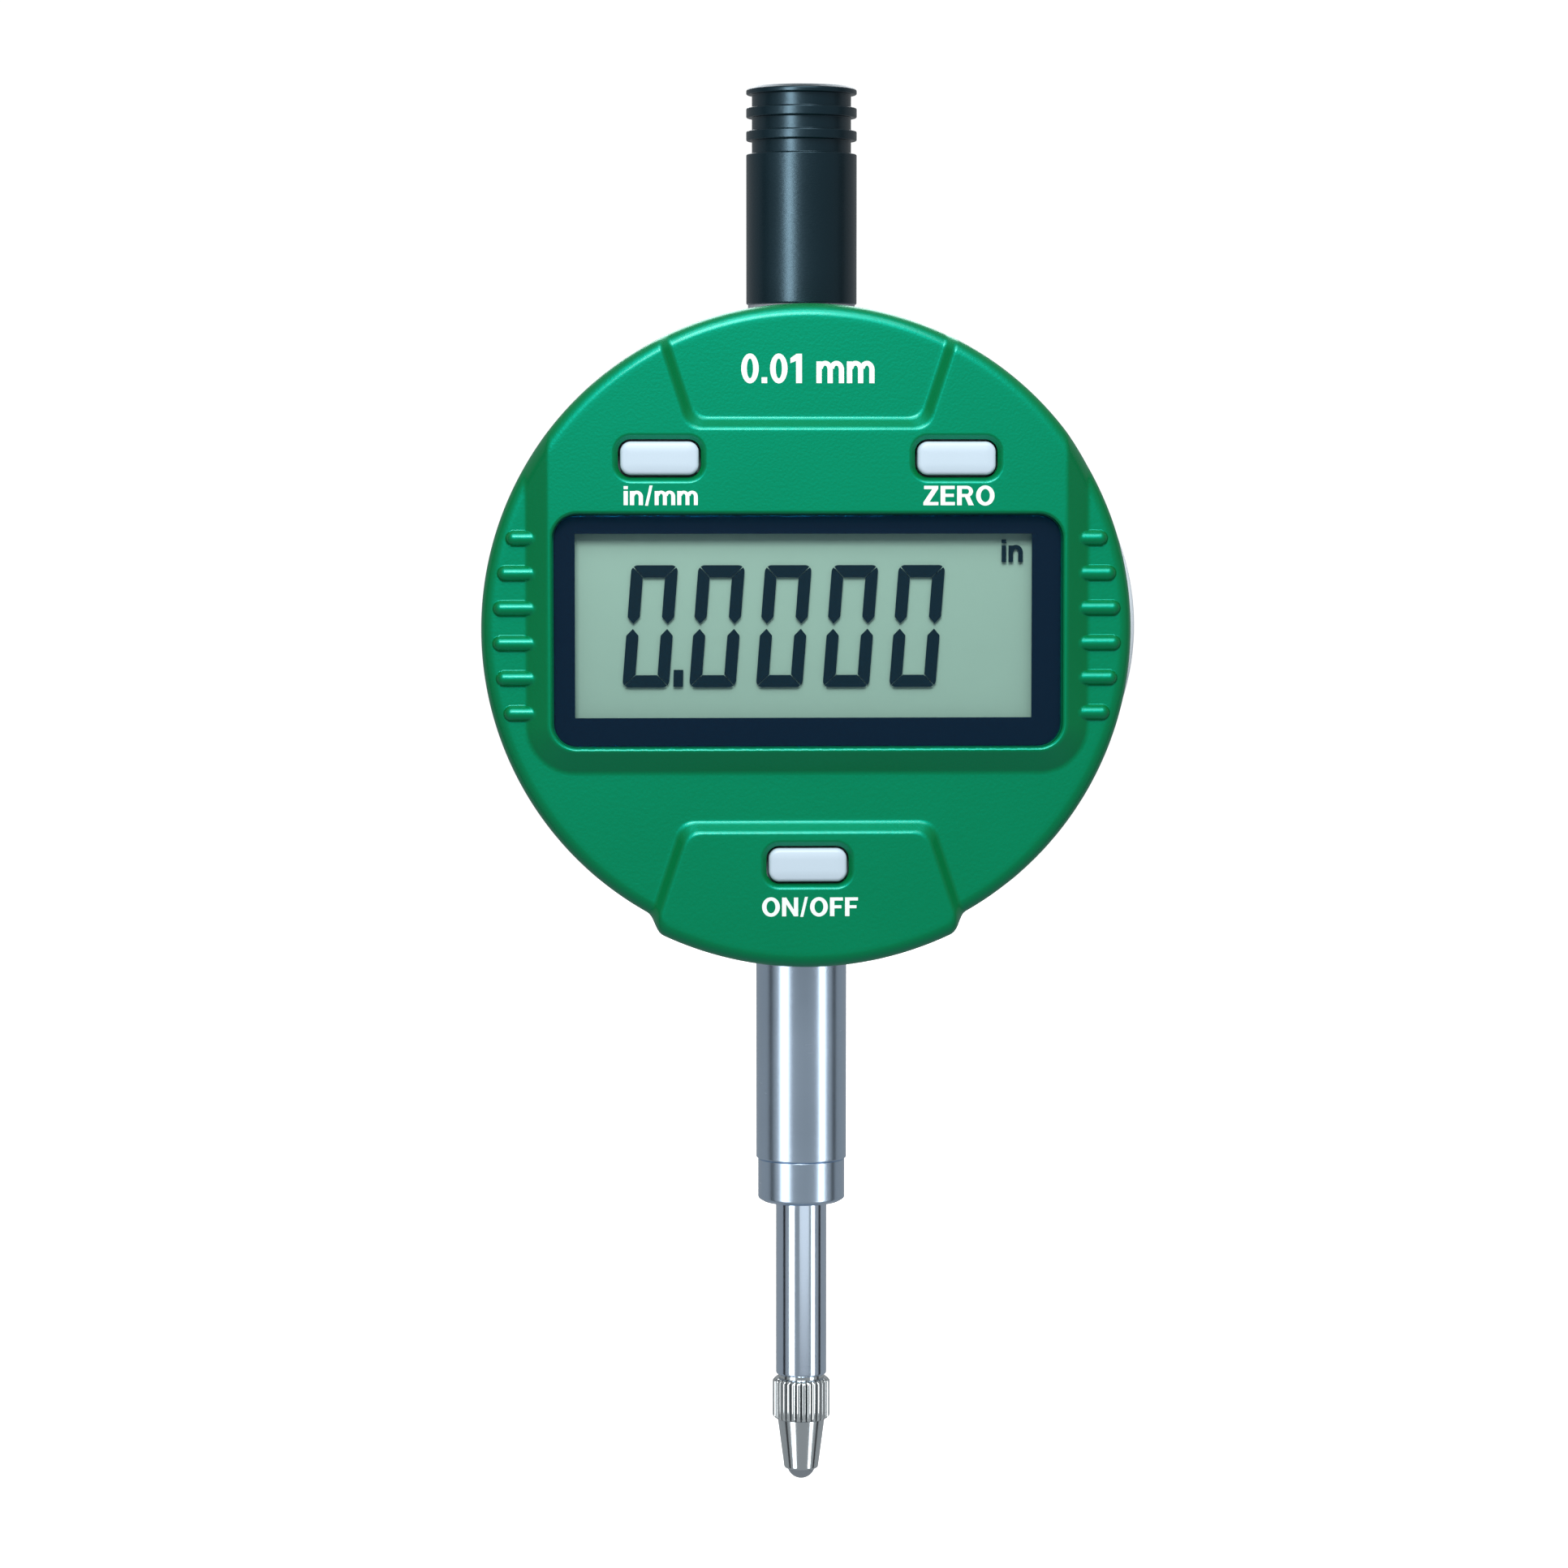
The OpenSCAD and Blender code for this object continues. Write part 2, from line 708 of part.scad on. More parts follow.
// Channel that guides the battery drawer, open towards the board
module battery_bay() {
    out_x = inner_r + 0.8;
    in_x = tray_inner_x + 0.6;
    half = tray_half + slip;
    translate([in_x, -half - bay_wall, tray_back - slip - bay_wall])
        cube([out_x - in_x, 2 * (half + bay_wall), bay_wall]);
    for (s = [-1, 1]) translate([in_x, s * (half + bay_wall / 2) - bay_wall / 2, tray_back - slip - bay_wall])
        cube([out_x - in_x, bay_wall, tray_front - tray_back + slip + bay_wall]);
}

module drawer_cut() {
    half = tray_half + slip;
    translate([tray_inner_x, -half, tray_back - slip])
        cube([drawer_r, 2 * half, tray_front - tray_back + 2 * slip]);
    translate([drawer_inner_x, -drawer_half - slip, drawer_back - slip])
        cube([drawer_r, 2 * (drawer_half + slip), drawer_front - drawer_back + 2 * slip]);
}

set_screw_r = 1.25;
set_screw_l = 3;
set_screw_z = collar_bottom + 7;

module set_screw_hole() {
    translate([0, 0, set_screw_z]) rotate([-90, 0, 0]) cylinder(r = set_screw_r, h = collar_r + 2);
}

// Grub screw with a hexagon socket, bearing on the stem's shank from behind
module stem_set_screw() {
    color("dimgray") translate([0, shank_d / 2, set_screw_z]) rotate([-90, 0, 0]) difference() {
        cylinder(r = set_screw_r, h = set_screw_l - 1.5);
        translate([0, 0, 0.6]) cylinder(r = 0.7, h = 2, $fn = 6);
    }
}

module cover_screws() {
    color("silver") on_head() translate([0, 0, screw_sink - case_back]) four_corners(cover_screw)
        pan_screw(0.98, ceiling - 1.2 + case_back - screw_sink, 1.85, 1.4);
}

// ---- Back cover with its lug

sink_r = 1.9;
sink_t = 1.1;

module back_cover() {
    pad_r = 10;
    pad_t = 0.8;
    rear = case_back + back_t;
    color("gray") difference() {
        union() {
            on_head() slab(-rear, -case_back) circle(case_r);
            on_head() slab(-rear - pad_t, -rear + eps) circle(pad_r);
            translate([-lug_t / 2, 0, head_z]) rotate([0, 90, 0]) {
                translate([-lug_r, rear - 0.5, 0]) cube([2 * lug_r, lug_reach + 0.5, lug_t]);
                translate([0, rear + lug_reach, 0]) cylinder(r = lug_r, h = lug_t);
            }
        }
        translate([-lug_t / 2 - 1, rear + lug_reach, head_z]) rotate([0, 90, 0])
            cylinder(r = lug_hole_d / 2, h = lug_t + 2);
        on_head() four_corners(back_screw) {
            translate([0, 0, -rear - 1]) cylinder(r = 1.1, h = back_t + 2);
            translate([0, 0, -rear - eps]) cylinder(r1 = sink_r + eps, r2 = 1.1, h = sink_t);
        }
    }
}

// Countersunk screws with a cross recess
module back_screws() {
    rear = case_back + back_t;
    color("silver") on_head() four_corners(back_screw) difference() {
        translate([0, 0, -rear]) {
            cylinder(r1 = sink_r - hair, r2 = 0.85, h = sink_t - 0.05);
            cylinder(r = 0.84, h = back_t + 4);
        }
        for (a = [0, 90]) translate([0, 0, -rear]) rotate([0, 0, a + 45]) cube([2.2, 0.45, 1.1], center = true);
    }
}

// ---- Stem, bushes, stop and guide rod

module stem() {
    bore = bush_bore_r + 0.35;
    nose_shank_r = stem_d / 2 - 0.8;
    color("lightsteelblue") difference() {
        union() {
            rod(shank_d / 2, collar_bottom - eps, stem_top);
            rod(stem_d / 2, stem_bottom, collar_bottom);
        }
        rod(bore, stem_bottom - 1, stem_top + 1);
        rod(nose_shank_r, stem_bottom - 1, stem_bottom + nose_shank_l);
    }
}

module nose_bush() {
    chamfer = 0.5;
    color("lightsteelblue") difference() {
        rotate_extrude() polygon([
            [bush_bore_r, nose_bottom], [nose_d / 2 - chamfer, nose_bottom],
            [nose_d / 2, nose_bottom + chamfer * 0.6], [nose_d / 2, stem_bottom - 0.1],
            [nose_d / 2 - 0.1, stem_bottom], [stem_d / 2 - 0.8, stem_bottom],
            [stem_d / 2 - 0.8, stem_bottom + nose_shank_l], [bush_bore_r, stem_bottom + nose_shank_l]
        ]);
    }
}

module upper_bush() {
    color("darkkhaki") {
        rod(shank_d / 2, bush_bottom, bush_seat, bush_bore_r);
        rod(neck_d / 2, bush_seat - eps, bush_seat + neck_l, bush_bore_r);
    }
}

// Rubber washer that the carriage comes to rest on
module stop_washer() {
    color("dimgray") rod(shank_d / 2, stem_top, stem_top + stop_t, bush_bore_r + 0.35);
}

module guide_rod() {
    color("silver") translate([rod_x, 0]) rod(rod_r, stem_top - rod_seat, bush_bottom + rod_seat);
}

// ---- Return spring, a round wire wound round the spindle

function spring_point(t) =
    let (a = 360 * spring_turns * t, low = hub_top + wire_d, high = bush_bottom - wire_d)
    [spring_r * cos(a), spring_r * sin(a), low + (high - low) * t];

function spring_ring(t) =
    let (a = 360 * spring_turns * t, p = spring_point(t))
    [for (k = [0:spring_sides - 1])
        let (b = 360 * k / spring_sides, out = cos(b) * wire_d / 2)
        [p[0] + out * cos(a), p[1] + out * sin(a), p[2] + sin(b) * wire_d / 2]];

module return_spring() {
    n = spring_turns * spring_steps;
    m = spring_sides;
    points = [for (i = [0:n]) each spring_ring(i / n)];
    sides = [for (i = [0:n - 1], k = [0:m - 1])
        let (a = i * m + k, b = i * m + (k + 1) % m) each [[a, a + m, b + m], [a, b + m, b]]];
    first = [[for (k = [0:m - 1]) k]];
    last = [[for (k = [m - 1:-1:0]) n * m + k]];
    color("silver") polyhedron(points = points, faces = concat(sides, first, last));
}

// ---- Top cap

module top_cap() {
    r = cap_d / 2;
    low = r - cap_groove_depth;
    soft = 0.12;
    pitch = cap_groove_w + cap_ring_w;
    lip_h = 0.7;
    bottom = bush_seat;
    grooves = [for (i = [0:cap_grooves - 1]) let (top = cap_top - lip_h - i * pitch) each [
        [r - soft, top], [low, top], [low, top - cap_groove_w], [r - soft, top - cap_groove_w],
        [r, top - cap_groove_w - soft], if (i < cap_grooves - 1) [r, top - pitch + soft]
    ]];
    bore_r = spindle_r + 0.5;
    color([0.12, 0.12, 0.13]) rotate_extrude() polygon(concat(
        [[0, cap_top], [r - 0.6, cap_top], [r - 0.15, cap_top - 0.2], [r, cap_top - 0.4], [r, cap_top - lip_h + soft]],
        grooves,
        [[r, bottom], [neck_d / 2, bottom], [neck_d / 2, bottom + neck_l + 0.2],
         [bore_r, bottom + neck_l + 0.2], [bore_r, cap_top - cap_top_t], [0, cap_top - cap_top_t]]
    ));
}

// ---- Spindle and what rides on it

module spindle() {
    chamfer = 0.2;
    thread_top = spindle_bottom + contact_thread_l;
    color("silver") rotate_extrude() polygon([
        [contact_thread_d / 2, spindle_bottom], [spindle_r - chamfer, spindle_bottom],
        [spindle_r, spindle_bottom + chamfer], [spindle_r, spindle_top - chamfer],
        [spindle_r - chamfer, spindle_top], [0, spindle_top], [0, thread_top],
        [contact_thread_d / 2, thread_top]
    ]);
}

// Block clamped on the spindle, with a plate for the scale and an arm that runs on the guide rod
module scale_carriage() {
    arm_z = hub_bottom + 2.5;
    color("darkgray") difference() {
        union() {
            translate([-hub_w / 2, -plate_back - plate_t, hub_bottom])
                cube([hub_w, plate_back + plate_t + hub_back, hub_l]);
            translate([-plate_w / 2, -plate_back - plate_t, hub_bottom])
                cube([plate_w, plate_t, plate_top - hub_bottom]);
            translate([rod_x, -arm_back, arm_z]) cube([-rod_x - hub_w / 2 + 1, 2 * arm_back, arm_w]);
            translate([rod_x, 0]) rod(arm_back, arm_z, arm_z + arm_w);
        }
        rod(spindle_r, hub_bottom - 1, hub_top + 1);
        translate([rod_x, 0]) rod(rod_r + 0.03, arm_z - 1, arm_z + arm_w + 1);
        translate([spindle_r - 0.5, 0, clamp_z]) rotate([0, 90, 0]) cylinder(r = clamp_screw_r, h = hub_w);
    }
}

// Grub screw that clamps the carriage to the spindle
module carriage_screw() {
    color("dimgray") translate([spindle_r, 0, clamp_z]) rotate([0, 90, 0]) difference() {
        cylinder(r = clamp_screw_r, h = 3);
        translate([0, 0, 2.2]) cube([0.35, 3, 2], center = true);
    }
}

module scale_strip() {
    color("peru") translate([-scale_w / 2, -scale_front, hub_bottom])
        cube([scale_w, scale_t, plate_top - hub_bottom]);
}

// ---- Contact point

module knurl_outline() {
    r = knurl_d / 2;
    step = 360 / knurl_n;
    polygon([for (i = [0:knurl_n - 1]) each [
        [r * cos(i * step), r * sin(i * step)],
        [r * cos((i + 0.55) * step), r * sin((i + 0.55) * step)],
        [(r - knurl_depth) * cos((i + 0.78) * step), (r - knurl_depth) * sin((i + 0.78) * step)]
    ]]);
}

module contact_point() {
    shoulder = spindle_bottom;
    neck = 0.3;
    knurl_top = shoulder - neck;
    knurl_bottom = knurl_top - knurl_l;
    cone_bottom = knurl_bottom - cone_l;
    ball_z = cone_bottom - ball_proud + ball_d / 2;
    rim = 0.3;
    r = knurl_d / 2;
    color("silver") difference() {
        union() {
            translate([0, 0, shoulder - eps]) cylinder(r = contact_thread_d / 2, h = contact_thread_l - 0.5);
            translate([0, 0, knurl_top - eps]) cylinder(r = spindle_r - 0.2, h = neck + eps);
            intersection() {
                translate([0, 0, knurl_bottom]) linear_extrude(knurl_l) knurl_outline();
                rotate_extrude() polygon([
                    [0, knurl_bottom], [r - rim, knurl_bottom], [r + eps, knurl_bottom + rim],
                    [r + eps, knurl_top - rim], [r - rim, knurl_top], [0, knurl_top]
                ]);
            }
            translate([0, 0, cone_bottom]) cylinder(r1 = tip_d / 2, r2 = cone_d / 2, h = cone_l + eps);
        }
        translate([0, 0, ball_z]) sphere(ball_d / 2);
    }
}

module measuring_ball() {
    cone_bottom = spindle_bottom - 0.3 - knurl_l - cone_l;
    color("dimgray") translate([0, 0, cone_bottom - ball_proud + ball_d / 2]) sphere(ball_d / 2);
}

// ---- Battery drawer

module battery_drawer() {
    color("gainsboro") on_head() {
        intersection() {
            slab(drawer_back, drawer_front) translate([drawer_r - drawer_curve_r, 0]) circle(drawer_curve_r);
            translate([drawer_inner_x, -drawer_half, drawer_back])
                cube([drawer_r, 2 * drawer_half, drawer_front - drawer_back]);
        }
        difference() {
            translate([tray_inner_x, -tray_half, tray_back])
                cube([drawer_inner_x - tray_inner_x + eps, 2 * tray_half, tray_front - tray_back]);
            translate([cell_x, 0, cell_back]) cylinder(r = cell_r + slip, h = cell_t + 2);
            translate([tray_inner_x - 1, -3.5, cell_back]) cube([6, 7, cell_t + 2]);
        }
    }
}

module button_cell() {
    chamfer = 0.5;
    color("silver") on_head() translate([cell_x, 0, cell_back]) rotate_extrude() polygon([
        [0, 0], [cell_r - 0.3, 0], [cell_r, 0.3], [cell_r, cell_t - 1.4], [cell_r - chamfer, cell_t - 0.9],
        [cell_r - 1.3, cell_t - 0.9], [cell_r - 1.5, cell_t], [0, cell_t]
    ]);
}

front_cover();
lens();
lens_mask();
lcd_glass();
lcd_holder();
contact_strips();
main_board();
reader_pads();
board_components();
switch_bodies();
battery_contacts();
board_screws();
case();
back_cover();
cover_screws();
back_screws();
stem();
nose_bush();
upper_bush();
stem_set_screw();
stop_washer();
guide_rod();
return_spring();
top_cap();
spindle();
scale_carriage();
carriage_screw();
scale_strip();
contact_point();
measuring_ball();
button(in_mm_place);  // in_mm_button
button(zero_place);  // zero_button
button(on_off_place);  // on_off_button
plunger(in_mm_place);  // in_mm_plunger
plunger(zero_place);  // zero_plunger
plunger(on_off_place);  // on_off_plunger
battery_drawer();
button_cell();
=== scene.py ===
"""Digital dial indicator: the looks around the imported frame.

Lengths are in millimetres until a mesh is made. The row frame has +Z up the spindle and the reader on
the -Y side. The face frame has x to the right, z up from the head's centre, and depth towards the reader.
"""

import json
import math

import bmesh
import bpy
import numpy as np
from mathutils import Matrix, Vector, geometry, kdtree


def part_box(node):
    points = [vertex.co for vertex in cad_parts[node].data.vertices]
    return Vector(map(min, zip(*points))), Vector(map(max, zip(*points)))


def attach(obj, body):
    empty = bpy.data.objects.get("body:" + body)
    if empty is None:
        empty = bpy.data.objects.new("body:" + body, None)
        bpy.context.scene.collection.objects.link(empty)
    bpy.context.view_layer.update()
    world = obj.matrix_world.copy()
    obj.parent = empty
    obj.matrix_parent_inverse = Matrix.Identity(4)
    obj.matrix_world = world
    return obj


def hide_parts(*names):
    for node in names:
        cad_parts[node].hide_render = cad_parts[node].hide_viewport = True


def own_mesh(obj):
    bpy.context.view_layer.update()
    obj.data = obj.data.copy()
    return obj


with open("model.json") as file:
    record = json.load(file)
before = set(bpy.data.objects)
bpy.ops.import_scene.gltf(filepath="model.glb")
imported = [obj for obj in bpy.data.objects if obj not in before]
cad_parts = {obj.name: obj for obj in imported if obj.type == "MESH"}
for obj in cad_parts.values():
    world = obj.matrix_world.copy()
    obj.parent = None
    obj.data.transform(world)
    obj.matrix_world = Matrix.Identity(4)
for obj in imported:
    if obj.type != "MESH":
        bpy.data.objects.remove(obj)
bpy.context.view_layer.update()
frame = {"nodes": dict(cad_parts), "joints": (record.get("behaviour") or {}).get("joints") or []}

# ---- Camera -------------------------------------------------------------------------------------
# The reader stands 0.4 m away, a little above the display and a touch to its left, with a long lens.

MM = 0.001


def span(node):
    """Lowest and highest corner of a CAD node."""
    low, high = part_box(node)
    return low / MM, high / MM


lens_low, lens_high = span("lens")
head_z = (lens_low.z + lens_high.z) / 2
camera_aim = Vector((-1.57, -0.91, head_z - 13.96))


def away_from(target, azimuth, elevation, away):
    """A point at some distance from a target, at an azimuth from the reader's side, to the right."""
    a, e = math.radians(azimuth), math.radians(elevation)
    return target + Vector((math.sin(a) * math.cos(e), -math.cos(a) * math.cos(e), math.sin(e))) * away


def aimed(name, data, place, target):
    """A camera or lamp at one point, in millimetres, that looks at another."""
    obj = bpy.data.objects.new(name, data)
    bpy.context.scene.collection.objects.link(obj)
    obj.location = Vector(place) * MM
    obj.rotation_mode = "QUATERNION"
    obj.rotation_quaternion = (Vector(target) - Vector(place)).to_track_quat("-Z", "Y")
    return obj


camera_data = bpy.data.cameras.new("camera")
camera_data.lens = 106.8
camera_data.sensor_width = 36
bpy.context.scene.camera = aimed("camera", camera_data, away_from(camera_aim, -2.4, 4, 411), camera_aim)

# ---- Stem and nose bush -------------------------------------------------------------------------
# The stem is a ground steel tube, pressed into the case and held by a grub screw. The nose bush is
# turned from the same steel and screwed into the stem's lower end, so a fine seam shows between them.


class Value:
    """A node's output that takes part in Python sums."""

    def __init__(self, tree, socket):
        self.tree, self.socket = tree, socket

    def sum(self, operation, *values):
        return self.tree.node("Math", {"operation": operation}, dict(enumerate(values)))

    def __add__(self, other):
        return self.sum("ADD", self, other)

    def __sub__(self, other):
        return self.sum("SUBTRACT", self, other)

    def __rsub__(self, other):
        return self.sum("SUBTRACT", other, self)

    def __mul__(self, other):
        return self.sum("MULTIPLY", self, other)

    def __pow__(self, other):
        return self.sum("POWER", self, other)

    __radd__, __rmul__ = __add__, __mul__


class Nodes:
    """The nodes of a material or of the studio round the object."""

    def __init__(self, owner, kind):
        owner.use_nodes = True
        self.tree = owner.node_tree
        self.tree.nodes.clear()
        self.output = self.tree.nodes.new("ShaderNodeOutput" + kind)

    def node(self, kind, settings=None, inputs=None, output=0):
        """Adds a node: its settings first, then the values or links of its sockets."""
        made = self.tree.nodes.new("ShaderNode" + kind)
        for key, setting in (settings or {}).items():
            if key == "stops":
                while len(made.color_ramp.elements) < len(setting):
                    made.color_ramp.elements.new(0.5)
                for element, (position, colour) in zip(made.color_ramp.elements, setting):
                    element.position, element.color = position, (*colour, 1)
            else:
                setattr(made, key, setting)
        for key, value in (inputs or {}).items():
            self.put(made.inputs[key], value)
        return Value(self, made.outputs[output])

    def put(self, socket, value):
        if isinstance(value, Value):
            self.tree.links.new(value.socket, socket)
        elif socket.type == "RGBA" and len(value) == 3:
            socket.default_value = (*value, 1)
        else:
            socket.default_value = value

    def surface(self, shader):
        self.tree.links.new(shader.socket, self.output.inputs["Surface"])


class Finish(Nodes):
    """One material. Its constants are set on the shader's own sockets."""

    def __init__(self, name, **constants):
        self.material = bpy.data.materials.new(name)
        super().__init__(self.material, "Material")
        self.shader = self.node("BsdfPrincipled", {}, constants)
        self.surface(self.shader)
        self.place = self.node("TexCoord", output="Object")

    def feed(self, **sockets):
        """Feeds the Principled shader: base_color=..., roughness=..., normal=..."""
        for key, value in sockets.items():
            self.put(self.shader.socket.node.inputs[key.replace("_", " ").title()], value)

    def noise(self, size, detail=2.0, stretch=(1, 1, 1)):
        """Noise from 0 to 1 with features of about `size` millimetres, stretched along an axis."""
        moved = self.node("Mapping", {"vector_type": "POINT"},
                          {"Vector": self.place, "Scale": [1 / (size * MM * s) for s in stretch]})
        return self.node("TexNoise", {}, {
            "Vector": moved, "Scale": 1.0, "Detail": detail, "Roughness": 0.5})

    def between(self, factor, first, second):
        """A colour that goes from first to second."""
        return self.node("Mix", {"data_type": "RGBA"}, {0: factor, 6: first, 7: second}, output=2)

    def bump(self, height, depth):
        """Surface relief of `depth` millimetres."""
        return self.node("Bump", {}, {"Height": height, "Distance": depth * MM, "Strength": 1.0})


def srgb(red, green, blue):
    """Display values from 0 to 255 as linear light."""
    return tuple(c / 12.92 if c <= 0.04045 else ((c + 0.055) / 1.055) ** 2.4
                 for c in (red / 255, green / 255, blue / 255))


def textured(name, colour, roughness, size, depth, tint=0.06, spread=0.06, stretch=(1, 1, 1),
             **constants):
    """A finish whose colour, roughness and relief all vary a little at the grain's own size."""
    made = Finish(name, **constants)
    grain = made.noise(size, stretch=stretch)
    cloud = made.noise(size * 40, stretch=stretch)
    light = tuple(min(1, c * (1 + tint)) for c in colour)
    dark = tuple(c * (1 - tint) for c in colour)
    made.feed(base_color=made.between(cloud * 0.7 + grain * 0.3, dark, light),
              roughness=grain * spread + cloud * spread + (roughness - spread),
              normal=made.bump(grain, depth))
    return made


arc_steps = 5


def beside_arc(length):
    """Distance from an arc to the point that keeps the long stretch beside it shaded straight."""
    return min(0.04, 0.01 * length)


def rounded(corners):
    """An outline from corners (x, y, radius): a corner with a radius becomes an arc."""
    out = []
    for i, (x, y, radius) in enumerate(corners):
        p = Vector((x, y))
        a = Vector(corners[i - 1][:2]) - p
        b = Vector(corners[(i + 1) % len(corners)][:2]) - p
        if radius == 0:
            out.append((x, y))
            continue
        half = a.angle(b) / 2
        cut = min(radius / math.tan(half), 0.49 * a.length, 0.49 * b.length)
        radius = cut * math.tan(half)
        centre = p + (a.normalized() + b.normalized()).normalized() * (radius / math.sin(half))
        start = p + a.normalized() * cut - centre
        stop = p + b.normalized() * cut - centre
        turn = math.copysign(math.pi - 2 * half, start.x * stop.y - start.y * stop.x)
        out.append(tuple(p + a.normalized() * (cut + beside_arc(a.length))))
        for k in range(arc_steps + 1):
            out.append(tuple(centre + Matrix.Rotation(turn * k / arc_steps, 2) @ start))
        out.append(tuple(p + b.normalized() * (cut + beside_arc(b.length))))
    return out


def shown(name, shape, sharp=32):
    """An object from a bmesh, smooth up to `sharp` degrees."""
    mesh = bpy.data.meshes.new(name)
    shape.to_mesh(mesh)
    shape.free()
    mesh.shade_smooth()
    mesh.set_sharp_from_angle(angle=math.radians(sharp))
    obj = bpy.data.objects.new(name, mesh)
    bpy.context.scene.collection.objects.link(obj)
    return obj


def meshed(name, points, faces, sharp=32):
    """A mesh object from points in millimetres."""
    mesh = bpy.data.meshes.new("points")
    mesh.from_pydata([Vector(p) * MM for p in points], [], faces)
    shape = bmesh.new()
    shape.from_mesh(mesh)
    bpy.data.meshes.remove(mesh)
    bmesh.ops.remove_doubles(shape, verts=shape.verts, dist=1e-7)
    bmesh.ops.recalc_face_normals(shape, faces=shape.faces)
    return shown(name, shape, sharp)


def upright(x, y, z):
    return (x, y, z)


def walls(first, second):
    """Faces between two loops of points, from the points' numbers."""
    n = len(first)
    return [(first[k], first[(k + 1) % n], second[(k + 1) % n], second[k]) for k in range(n)]


def lathe(name, profile, place=upright, turns=160):
    """Turns a closed profile of (radius, height) about an axis, put in the row frame by place()."""
    points, faces, n = [], [], len(profile)
    for i in range(turns):
        a = 2 * math.pi * i / turns
        points += [place(r * math.cos(a), r * math.sin(a), h) for r, h in profile]
        after = (i + 1) % turns * n
        faces += walls(range(i * n, i * n + n), range(after, after + n))
    return meshed(name, points, faces)


def settle(obj, finish, slot, body, *nodes):
    """Gives a piece its finish, its body and the CAD nodes that it stands for. The slot is not used."""
    obj.data.materials.clear()
    obj.data.materials.append(finish.material)
    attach(obj, body)
    if nodes:
        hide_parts(*nodes)
    return obj


def ground_steel(name, colour, roughness, depth):
    """Ground steel: fine rings round the axis, and faint clouding along it."""
    made = Finish(name, Metallic=1.0)
    rings = made.noise(0.05, detail=3, stretch=(60, 60, 1))
    cloud = made.noise(6, detail=3)
    made.feed(base_color=made.between(cloud, tuple(c * 0.92 for c in colour), colour),
              roughness=rings * 0.06 + cloud * 0.05 + roughness,
              normal=made.bump(rings, depth))
    return made


stem_steel = ground_steel("ground_steel", srgb(192, 211, 231), 0.2, 0.0006)

stem_low, stem_high = span("stem")
nose_low, nose_high = span("nose_bush")
stem_r, nose_r, spindle_r = stem_high.x, nose_high.x, span("spindle")[1].x
stem_bore, clamp_length = 2.62, 18.3
seam_z, collar_z = stem_low.z, stem_low.z + clamp_length
neck_r = stem_r - 0.5
stem = lathe("stem_tube", rounded([
    (stem_bore, seam_z, 0), (stem_r, seam_z, 0.12), (stem_r, collar_z, 0), (neck_r, collar_z, 0),
    (neck_r, stem_high.z, 0.3), (stem_bore, stem_high.z, 0.1),
]))
settle(stem, stem_steel, "steel_ground", "housing", "stem")

bush_bore, thread_r, seam = spindle_r + 0.02, stem_r - 0.8, 0.12
nose = lathe("nose_bush_turned", rounded([
    (bush_bore, nose_low.z, 0.1), (nose_r - 0.5, nose_low.z, 0.25), (nose_r, nose_low.z + 0.3, 0.25),
    (nose_r, seam_z - seam, 0.05), (nose_r - seam, seam_z, 0), (thread_r, seam_z, 0),
    (thread_r, nose_high.z, 0.1), (bush_bore, nose_high.z, 0.1),
]))
settle(nose, stem_steel, "steel_ground", "housing", "nose_bush")

# ---- Spindle and contact point ------------------------------------------------------------------
# The spindle is hardened, ground and polished. The contact point screws into its end: a straight
# knurl for the fingers, a short cone, and a carbide ball pressed into the cone's face.

polished_steel = ground_steel("polished_steel", srgb(206, 222, 240), 0.09, 0.0003)
contact_steel = ground_steel("contact_steel", srgb(214, 222, 226), 0.11, 0.0003)
carbide = ground_steel("carbide", srgb(188, 196, 204), 0.12, 0.0002)



def rod(name, low_end, high_end):
    """A solid round bar from its two ends: radius, height and how far the edge is rounded."""
    return lathe(name, rounded([(0, low_end[1], 0), low_end, high_end, (0, high_end[1], 0)]))


spindle_low, spindle_high = span("spindle")
spindle = rod("spindle_ground", (spindle_r, spindle_low.z, 0.2), (spindle_r, spindle_high.z, 0.25))
settle(spindle, polished_steel, "steel_polished", "spindle_assembly", "spindle")

point_neck = 0.3
knurl_teeth = 32
knurl_depth = 0.16
knurl_length = 3.7
knurl_r = span("contact_point")[1].x
knurl_top = spindle_low.z - point_neck
knurl_bottom = knurl_top - knurl_length
knurl_rim = 0.3
groove_at = 0.78
# Each tooth's points: the share of its turn, and the share of the groove's depth
tooth = ((0.0, 0.2), (0.07, 0), (0.48, 0), (0.55, 0.2), (0.66, 0.75), (groove_at, 1.0), (0.9, 0.75))


def knurl_ring(height, limit):
    """One ring of the knurl at a height, turned down to no more than `limit`."""
    ring = []
    for i in range(knurl_teeth):
        for share, sunk in tooth:
            a = 2 * math.pi * (i + share) / knurl_teeth
            r = min(limit, knurl_r - knurl_depth * sunk)
            ring.append((r * math.cos(a), r * math.sin(a), height))
    return ring


def loft(name, loops, sharp=32):
    """A closed skin over loops of equal length, with its two ends capped."""
    n = len(loops[0])
    faces = [tuple(range(n))[::-1], tuple(range((len(loops) - 1) * n, len(loops) * n))]
    for i in range(0, (len(loops) - 1) * n, n):
        faces += walls(range(i, i + n), range(i + n, i + 2 * n))
    return meshed(name, [p for loop in loops for p in loop], faces, sharp)
